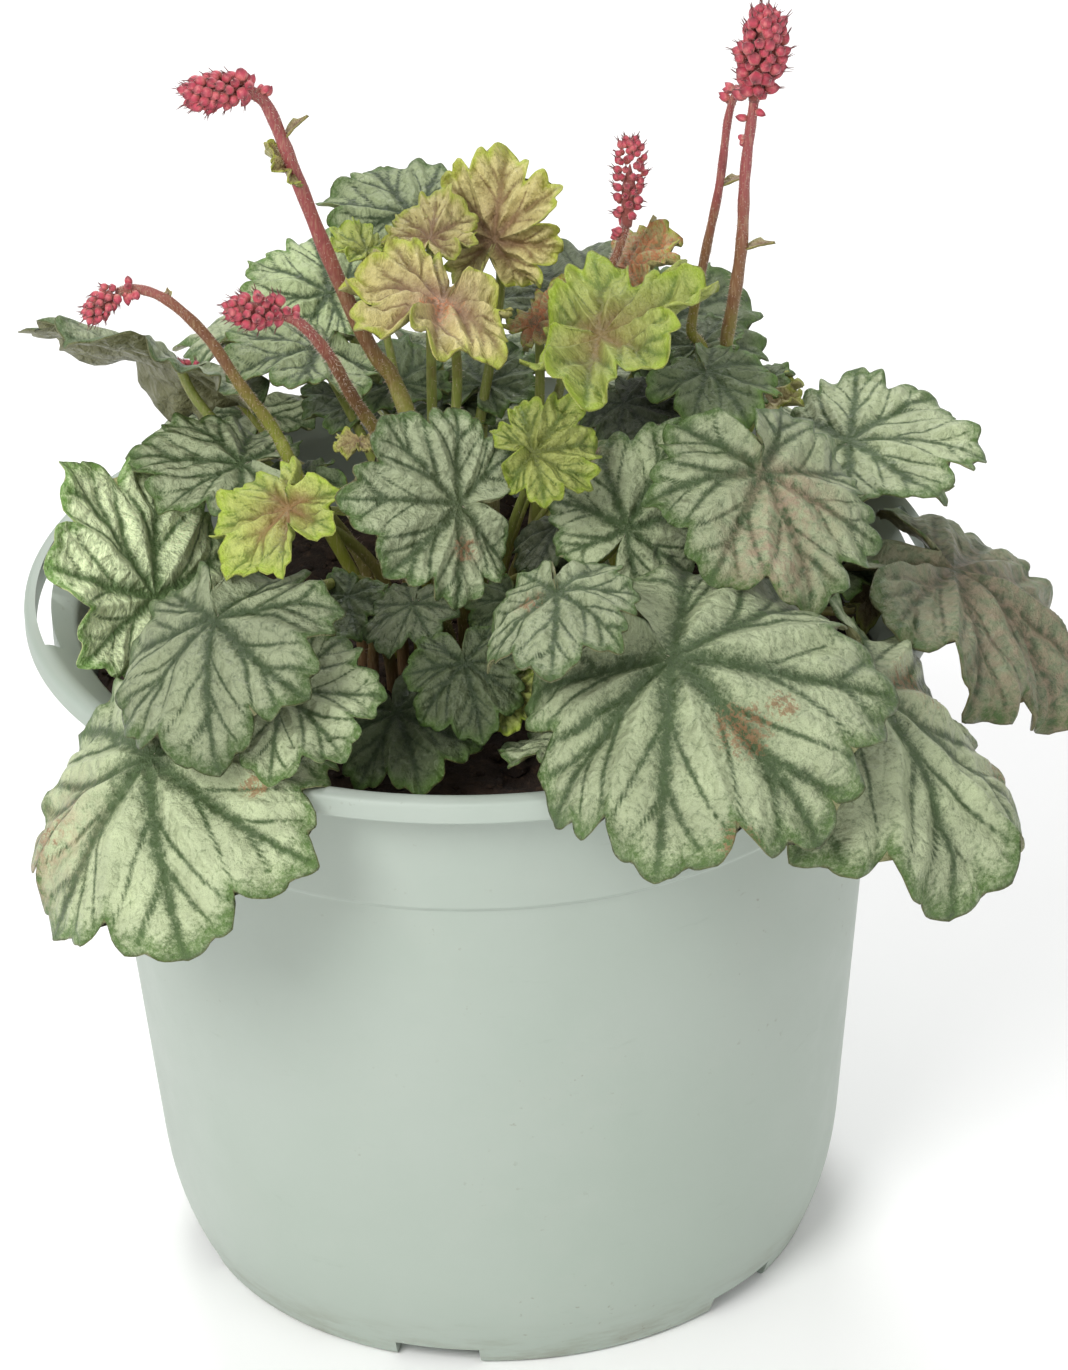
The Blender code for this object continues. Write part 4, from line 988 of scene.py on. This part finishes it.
def bract(at, heading, pitch, size):
    """A small pointed leaf with a pair of side teeth, as a curved grid on both faces."""
    tip, side, up = leaf_axes(Leaf("bract", "bronze", at, heading, pitch, 0, size, 15, 0, 0, 2))
    rows, half = 15, 4
    wide = 2 * half + 1
    count = rows * wide
    upper, flats, form = [], [], []
    for i in range(rows):
        s = i / (rows - 1)
        width = np.interp(s, [0, 0.3, 0.55, 0.64, 0.72, 1.0], [0.07, 0.17, 0.26, 0.30, 0.15, 0.004])
        for j in range(-half, half + 1):
            w = j / half
            across = size * width * w
            lift = size * (-0.14 * s**2 + 0.10 * abs(w) * width * 3 + 0.02 * math.sin(9 * s + 4 * w))
            upper.append(np.array(at) + size * s * tip + across * side + lift * up)
            flats.append((0.1 * size * s, 0.1 * across, 5.0 * size))
            form.append((math.exp(-(abs(j) / 1.2) ** 2), (abs(j) / half) ** 3, 0.0))
    faces = []
    for i in range(rows - 1):
        for j in range(wide - 1):
            a = i * wide + j
            faces.append([a, a + wide, a + wide + 1, a + 1])
            faces.append([count + a + 1, count + a + wide + 1, count + a + wide, count + a])
    border = list(range(wide)) + [i * wide + wide - 1 for i in range(1, rows)]
    border += [(rows - 1) * wide + j for j in range(wide - 2, -1, -1)]
    border += [i * wide for i in range(rows - 2, 0, -1)]
    faces += [[a, b, count + b, count + a] for a, b in zip(border, border[1:] + border[:1])]
    form = np.array(form + [(a, b, 1.0) for a, b, _ in form])
    return np.concatenate([upper, np.array(upper) - 0.4 * up]), faces, form, np.array(flats + flats)


def make_stalk(stalk, root, finishes):
    heap = Heap()
    path = flower_path(stalk, root, 70)
    steps = np.arange(len(path))
    radii = np.interp(steps, [0, len(path) - 1], [FLOWER_FOOT * stalk.thick, FLOWER_NECK * stalk.thick])
    radii = radii * (1 + 0.05 * np.sin(steps * 0.9))
    heap.add(*tube(path, radii, 14, 0.04), 1)
    draw = draws(stalk.name, 31)
    heap.add(*hairs(path, radii, FLOWER_HAIRS, 0.8, draw, 0.1), 2)
    for place, heading, pitch, size in stalk.bracts:
        if size >= LOBED_BRACT:
            add_small_leaf(heap, stalk.route[place], heading, pitch, size)
            continue
        points, faces, form, flat = bract(stalk.route[place], heading, pitch, size)
        heap.add(points, faces, 0, form=form, flat=flat, tone=(0.5, 0.95, 0.9), marks=(0.2, 0.4, 0.8))
    for i in range(SIDE_BUDS):
        at = path[len(path) - 3 - 2 * i]
        out = unit(np.cross(path[-1] - path[-4], draw.normal(size=3)))
        for lean in (out, out + 0.6 * draw.normal(size=3)):
            points, faces, form = bud(at + 0.8 * radii[-1] * out, lean, draw.uniform(2.0, 2.8), 0.8)
            heap.add(points, faces, 3, form=form)
    names = ("leaf_bronze", "flower_stalk", "hair", "flower_buds")
    piece = heap.build("fine_" + stalk.name, [finishes[name] for name in names])
    return keep(piece, stalk.name)


def add_small_leaf(heap, at, heading, pitch, size):
    """A lobed leaf on a short stalk of its own, which grows from a flower stalk."""
    at = np.array(at, float)
    grow = 0.62 if size < BIG_BRACT else 0.92
    leaf = Leaf("bract_%d" % (10 * size), "bronze", at, heading, pitch, 0, grow * size, 30, 20, 0, 1)
    tip, _, up = leaf_axes(leaf)
    centre = at + 0.42 * size * tip
    stem = [at, at + 0.25 * size * tip - 0.05 * size * up, centre - 0.3 * up]
    heap.add(*tube(stem, [0.7, 0.55, 0.45], 8), 1)
    add_blade(heap, leaf._replace(at=tuple(centre)), (0.6, 1.2, 0.5))


def bud(at, out, length, width):
    """One flower bud: a pointed grain with faint ribs. Returns points, faces and its form attribute."""
    out = unit(out)
    first = unit(np.cross(out, [0.3, 0.5, 0.8]))
    second = np.cross(out, first)
    sides = 10
    turns = 2 * math.pi * np.arange(sides) / sides
    points, form = [], []
    for share, size in BUD_PROFILE:
        radius = width * size * (1 + 0.08 * np.cos(5 * turns) * size)
        points.append(circle(at + out * length * share, radius, turns, first, second))
        form += [(share, 0.0, 0.0)] * sides
    points = np.concatenate(points + [[at + out * length * 1.05]])
    form.append((1.0, 0.0, 0.0))
    faces = [list(range(sides))[::-1]] + wall_faces(len(BUD_PROFILE), sides)
    top = len(points) - 1 - sides
    faces += [[top + i, top + (i + 1) % sides, top + sides] for i in range(sides)]
    return points, faces, np.array(form)


def make_head(head, finishes):
    heap = Heap()
    start = np.array(head.at, float)
    axis = unit(np.array(head.towards, float) - start)
    side = unit(np.cross(axis, [0.2, 0.9, 0.3]))
    other = np.cross(axis, side)
    shares = np.linspace(-0.06, 0.85, 12)
    core_path = [start + axis * head.length * s for s in shares]
    core_radii = np.interp(shares, [-0.06, 0.2, 0.55, 0.85], [1.1, 0.22 * head.width, 0.24 * head.width, 0.1])
    heap.add(*tube(core_path, core_radii, 10), 0, form=(0.2, 0.0, 0.6))
    draw = draws(head.name, 41)
    first, span, wide = BUD_SPANS.get(head.name, COMMON_SPAN)
    for i in range(head.buds):
        share = ((i + 0.5) / head.buds) ** 0.75
        turn = i * math.radians(GOLDEN_ANGLE)
        out = math.cos(turn) * side + math.sin(turn) * other
        swell = 0.6 + wide * math.sin(math.pi * share ** 1.5)
        place = (start + axis * head.length * (first + span * share)
                 + out * draw.uniform(0.14, 0.26) * swell * head.width)
        lean = out * (1.1 - 0.8 * share) + axis * (0.25 + 0.7 * share) + 0.2 * draw.normal(size=3)
        length = head.width * draw.uniform(0.30, 0.42) * (1 - 0.2 * share)
        points, faces, form = bud(place, lean, length, 0.40 * length)
        heap.add(points, faces, 0, form=form)
        lean = unit(lean)
        for _ in range(BUD_THREADS):
            drift = 0.3 * draw.normal(size=3)
            thread = [place + lean * length * s + drift * (s - 0.6) for s in (0.6, 1.0, 1.25, 1.45)]
            heap.add(*tube(thread, [0.10, 0.09, 0.06, 0.02], 4), 0, form=(0.9, 0.0, 1.0))
        heap.add(*hairs([place, place + lean * length], [0.35 * length, 0.1], BUD_HAIRS, 0.6, draw), 1)
    piece = heap.build("fine_" + head.name, [finishes["flower_buds"], finishes["hair"]])
    return keep(piece, head.name)


def direction(stem):
    """Where a leaf or a flower stalk leans, as an angle round the pot."""
    at = stem.at if hasattr(stem, "at") else stem.route[1]
    return math.atan2(at[1], at[0])


def root_places(stems):
    """A root for each stem: on its own ring, in the order of the directions in which the stems lean."""
    roots = {}
    for number, radius in enumerate(STEM_RINGS, start=1):
        ring = sorted((s for s in stems if s.ring == number), key=direction)
        wanted = np.array([direction(s) for s in ring])
        even = 2 * math.pi * np.arange(len(ring)) / len(ring)
        even = even + np.mean(wanted - even)
        for stem, turn in zip(ring, even):
            roots[stem.name] = (radius * math.cos(turn), radius * math.sin(turn))
    return roots


def rounded(corners, steps=5):
    """A closed profile of (radius, height, rounding) corners, each corner rounded off."""
    profile = []
    count = len(corners)
    for i, (radius, height, round_) in enumerate(corners):
        here = np.array([radius, height])
        if round_ == 0:
            profile.append((radius, height))
            continue
        before = np.array(corners[i - 1][:2])
        after = np.array(corners[(i + 1) % count][:2])
        into = before - here
        away = after - here
        first = here + into * min(0.48, round_ / np.linalg.norm(into))
        last = here + away * min(0.48, round_ / np.linalg.norm(away))
        for t in np.linspace(0, 1, steps):
            profile.append(tuple((1 - t) ** 2 * first + 2 * t * (1 - t) * here + t * t * last))
    return profile


def turned(name, profile, sides, finish):
    """A closed solid turned round Z from a closed profile of (radius, height), anticlockwise in r and z."""
    points = []
    rows = []
    for radius, height in profile:
        if radius == 0:
            rows.append([len(points)] * sides)
            points.append((0.0, 0.0, height))
            continue
        rows.append(list(range(len(points), len(points) + sides)))
        for i in range(sides):
            turn = 2 * math.pi * i / sides
            points.append((radius * math.cos(turn), radius * math.sin(turn), height))
    faces = []
    for row, following in zip(rows, rows[1:] + rows[:1]):
        for i in range(sides):
            j = (i + 1) % sides
            face = list(dict.fromkeys([row[i], row[j], following[j], following[i]]))
            if len(face) > 2:
                faces.append(face)
    return mesh_object(name, points, faces, [finish])


def prism(name, corners, low, high, finish):
    """An upright solid over an outline of (x, y)."""
    count = len(corners)
    points = [(x, y, low) for x, y in corners] + [(x, y, high) for x, y in corners]
    faces = [list(range(count))[::-1], list(range(count, 2 * count))]
    for i in range(count):
        j = (i + 1) % count
        faces.append([i, j, count + j, count + i])
    return mesh_object(name, points, faces, [finish], smooth=False)


def slot_cutter(middle_angle, finish):
    """A carrying slot through the rim flange."""
    turns = [middle_angle + SLOT_HALF_ANGLE * share for share in np.linspace(-1, 1, 25)]
    corners = [polar(SLOT_MIDDLE_RADIUS + SLOT_WIDTH / 2, turn) for turn in turns]
    corners += [polar(SLOT_MIDDLE_RADIUS - SLOT_WIDTH / 2, turn) for turn in turns[::-1]]
    return prism("slot", corners, POT_HEIGHT - 12, POT_HEIGHT + 4, finish)


def notch_cutter(turn, finish):
    """A notch through the foot ring."""
    along, across = np.array(polar(1, turn)), np.array(polar(1, turn + 90))
    near, far, half = FOOT_RADIUS - FOOT_RING_WIDTH - 3, HEEL_RADIUS + 3, FOOT_NOTCH_WIDTH / 2
    corners = [along * near - across * half, along * far - across * half,
               along * far + across * half, along * near + across * half]
    return prism("notch", corners, -2, FOOT_NOTCH_HEIGHT, finish)


def drain_cutter(turn, finish):
    """A round hole through the floor."""
    corners = [np.array(polar(DRAIN_CIRCLE, turn)) + polar(DRAIN_RADIUS, 15 * i) for i in range(24)]
    return prism("drain", corners, -2, FLOOR_HEIGHT + FLOOR_THICKNESS + 3, finish)


def cut(obj, cutters):
    collection = bpy.data.collections.new("cutters")
    bpy.context.scene.collection.children.link(collection)
    for piece in cutters:
        bpy.context.scene.collection.objects.unlink(piece)
        collection.objects.link(piece)
    modifier = obj.modifiers.new("cut", "BOOLEAN")
    modifier.operation = "DIFFERENCE"
    modifier.solver = "EXACT"
    modifier.operand_type = "COLLECTION"
    modifier.collection = collection
    graph = bpy.context.evaluated_depsgraph_get()
    mesh = bpy.data.meshes.new_from_object(obj.evaluated_get(graph))
    obj.modifiers.clear()
    obj.data = mesh
    for piece in cutters:
        bpy.data.objects.remove(piece, do_unlink=True)
    bpy.data.collections.remove(collection)


def make_pot(finish):
    top = POT_HEIGHT
    corners = [
        (FOOT_RADIUS - FOOT_RING_WIDTH, 0.0, 0.6),
        (FOOT_RADIUS, 0.0, 1.0),
        (HEEL_RADIUS - 2.2, 9.5, 5.0),
        (HEEL_RADIUS, HEEL_HEIGHT, 6.0),
        (SHOULDER_RADIUS, SHOULDER_HEIGHT, 0.5),
        (SHOULDER_RADIUS + 1.2, SHOULDER_HEIGHT + 1.0, 0.6),
        (COLLAR_RADIUS, top - 8.5, 2.0),
        (RIM_RADIUS - 1.8, top - RIM_BAND, 0.8),
        (RIM_RADIUS, top - RIM_BAND, 0.5),
        (RIM_RADIUS, top, 1.4),
        (LIP_INNER_RADIUS, top, 1.2),
        (COLLAR_RADIUS - WALL, top - 4.6, 1.5),
        (SHOULDER_RADIUS - 0.2, SHOULDER_HEIGHT + 2.6, 1.0),
        (SHOULDER_RADIUS - WALL, SHOULDER_HEIGHT, 0.5),
        (HEEL_RADIUS - WALL, HEEL_HEIGHT, 5.0),
        (HEEL_RADIUS - WALL - 6.0, FLOOR_HEIGHT + FLOOR_THICKNESS, 2.0),
        (0.0, FLOOR_HEIGHT + FLOOR_THICKNESS, 0),
        (0.0, 0.0, 0),
        (PAD_RADIUS, 0.0, 0.4),
        (PAD_RADIUS + 1.0, FLOOR_HEIGHT, 0.6),
        (FOOT_RADIUS - FOOT_RING_WIDTH - 1.0, FLOOR_HEIGHT, 0.6),
    ]
    pot = turned("fine_pot", rounded(corners), POT_SIDES, finish)
    cutters = [slot_cutter(angle, finish) for angle in (0, 180)]
    for i in range(FOOT_NOTCHES):
        turn = FOOT_NOTCH_ANGLE + 360 * i / FOOT_NOTCHES
        cutters += [notch_cutter(turn, finish), drain_cutter(turn, finish)]
    cut(pot, cutters)
    pot.data.shade_smooth()
    pot.data.set_sharp_from_angle(angle=math.radians(38))
    return keep(pot, "pot")


def soil_height(x, y):
    """The crumbly surface over the smooth mound."""
    height = soil_top(math.hypot(x, y))
    coarse = blender_noise.noise(Vector((x / 14, y / 14, 3.0)))
    lumps = blender_noise.noise(Vector((x / 5, y / 5, 9.0)))
    crumbs = abs(blender_noise.noise(Vector((x / 2.1, y / 2.1, 4.0))))
    return height + 1.4 * coarse + 1.3 * lumps + 1.3 * crumbs - 1.2


def make_soil(finish):
    heap = Heap()
    rings, around = 84, 230
    edge = COLLAR_RADIUS - WALL - 2.6
    points = []
    for i in range(1, rings + 1):
        radius = edge * (i / rings) ** 0.8
        for k in range(around):
            x, y = polar(radius, 360 * (k + 0.5 * (i % 2)) / around)
            points.append((x, y, soil_height(x, y)))
    count = len(points)
    points.append((0.0, 0.0, soil_height(0, 0)))
    low_radius = SHOULDER_RADIUS - WALL - 0.6
    points += [(*polar(low_radius, 360 * k / around), SOIL_BOTTOM) for k in range(around)]
    points.append((0.0, 0.0, SOIL_BOTTOM))
    faces = [[count, k, (k + 1) % around] for k in range(around)]
    for ring in range(rings - 1):
        faces += ring_faces(ring * around, (ring + 1) * around, around)
    faces += ring_faces((rings - 1) * around, count + 1, around)
    faces += [[len(points) - 1, count + 1 + (k + 1) % around, count + 1 + k] for k in range(around)]
    heap.add(points, faces, 0)
    draw = np.random.default_rng(5)
    for _ in range(CRUMBS):
        radius = edge * math.sqrt(draw.uniform(0.02, 0.99))
        turn = draw.uniform(0, 2 * math.pi)
        size = 0.7 + 2.2 * draw.uniform() ** 3
        x, y = radius * math.cos(turn), radius * math.sin(turn)
        heap.add(*crumb((x, y, soil_height(x, y) + 0.25 * size), size, draw), 0)
    return keep(heap.build("fine_soil", [finish]), "soil")


def crumb(at, size, draw):
    """A rough little lump: an octahedron cut once more, its points pushed about."""
    x, y, z = np.eye(3)
    corners = [x, y, -x, -y, z, -z]
    octants = [(0, 1, 4), (1, 2, 4), (2, 3, 4), (3, 0, 4), (1, 0, 5), (2, 1, 5), (3, 2, 5), (0, 3, 5)]
    middles = {}
    faces = []

    def between(a, b):
        key = (min(a, b), max(a, b))
        if key not in middles:
            corners.append(unit(corners[a] + corners[b]))
            middles[key] = len(corners) - 1
        return middles[key]

    for a, b, c in octants:
        ab, bc, ca = between(a, b), between(b, c), between(c, a)
        faces += [[a, ab, ca], [b, bc, ab], [c, ca, bc], [ab, bc, ca]]
    scale = size * np.array([draw.uniform(0.7, 1.3), draw.uniform(0.7, 1.3), draw.uniform(0.5, 0.9)])
    return [np.array(at) + corner * scale * draw.uniform(0.65, 1.2) for corner in corners], faces


def make_crown(finishes):
    """The rootstock's neck with old leaf scars, and the young leaves on it."""
    low = CROWN_TOP - CROWN_DEPTH
    sides, rings = 40, 40
    heights = np.linspace(low, CROWN_TOP - 0.8, rings)
    points = []
    for height in heights:
        base = np.interp(height - low, *zip(*CROWN_PROFILE))
        for k in range(sides):
            turn = 2 * math.pi * k / sides
            lump = blender_noise.noise(Vector((3 * math.cos(turn), 3 * math.sin(turn), height / 3)))
            radius = base + 0.9 * lump + 0.5 * math.cos(5 * turn + height) - 0.4
            points.append((radius * math.cos(turn), radius * math.sin(turn), height))
    points += [(0.0, 0.0, low), (0.0, 0.0, CROWN_TOP)]
    count = sides * rings
    last = count - sides
    faces = wall_faces(rings, sides)
    faces += [[count, (k + 1) % sides, k] for k in range(sides)]
    faces += [[count + 1, last + k, last + (k + 1) % sides] for k in range(sides)]
    heap = Heap()
    heap.add(points, faces, 2)
    for number, (x, y, z, heading, pitch, bank, reach) in enumerate(INNER_LEAVES, start=1):
        leaf = Leaf("inner_%d" % number, "green", (x, y, z), heading, pitch, bank, reach, 20, 20, 0, 1)
        add_blade(heap, leaf, INNER_TONE)
        path = stalk_path(leaf, polar(CROWN_RADIUS / 2, math.degrees(math.atan2(y, x))), 20)
        heap.add(*tube(path, np.linspace(0.8, 0.6, len(path)), 8, 0.05), 1)
    names = ("leaf_green", "petiole", "bark")
    return keep(heap.build("fine_crown", [finishes[name] for name in names]), "crown")


def aim(obj, at, target, roll=0.0):
    """Puts an object in its place and points it at the target."""
    obj.location = at
    obj.rotation_mode = "QUATERNION"
    look = (Vector(target) - Vector(at)).to_track_quat("-Z", "Y")
    obj.rotation_quaternion = look @ Quaternion((0, 0, 1), roll)


def add_light(name, at, size, power, colour):
    """A round soft light that points at the plant."""
    data = bpy.data.lights.new(name, "AREA")
    data.shape = "DISK"
    data.size = size
    data.energy = power
    data.color = colour
    aim(link(bpy.data.objects.new(name, data)), at, LIGHT_TARGET)


def make_stage():
    corners = [(-1, -1), (1, -1), (1, 1), (-1, 1)]
    floor = mesh_object("floor", [(FLOOR_SIZE * x, FLOOR_SIZE * y, FLOOR_LEVEL) for x, y in corners],
                        [[0, 1, 2, 3]], [floor_finish()], smooth=False)
    world = bpy.data.worlds.new("studio")
    bpy.context.scene.world = world
    world.use_nodes = True
    background = world.node_tree.nodes["Background"]
    background.inputs[0].default_value = (1.0, 1.0, 1.0, 1.0)
    background.inputs[1].default_value = WORLD_LIGHT
    for light in LIGHTS:
        add_light(*light)


def make_camera():
    data = bpy.data.cameras.new("camera")
    data.sensor_width = SENSOR
    data.lens = CAMERA_LENS
    data.clip_start = 0.01
    camera = link(bpy.data.objects.new("camera", data))
    aim(camera, CAMERA_AT, CAMERA_TARGET, CAMERA_ROLL)
    bpy.context.scene.camera = camera


def main():
    make_camera()
    make_stage()
    bpy.context.scene.view_settings.view_transform = "Standard"
    finishes = {"leaf_" + kind: leaf_finish(kind) for kind in KINDS}
    finishes["petiole"] = stalk_finish("petiole", shade(134, 104, 72), shade(126, 122, 66),
                                       shade(126, 136, 62), 0.135, 0.17)
    finishes["flower_stalk"] = stalk_finish("flower_stalk_fine", shade(130, 136, 50), shade(126, 88, 58),
                                            shade(150, 74, 76), 0.190, 0.238)
    finishes["hair"] = hair_finish()
    finishes["flower_buds"] = bud_finish()
    finishes["bark"] = bark_finish()
    roots = root_places(LEAVES + STALKS)
    make_pot(plastic_finish())
    make_soil(soil_finish())
    make_crown(finishes)
    for leaf in LEAVES:
        make_leaf(leaf, roots[leaf.name], finishes)
    for stalk in STALKS:
        make_stalk(stalk, roots[stalk.name], finishes)
    for head in HEADS:
        make_head(head, finishes)


main()
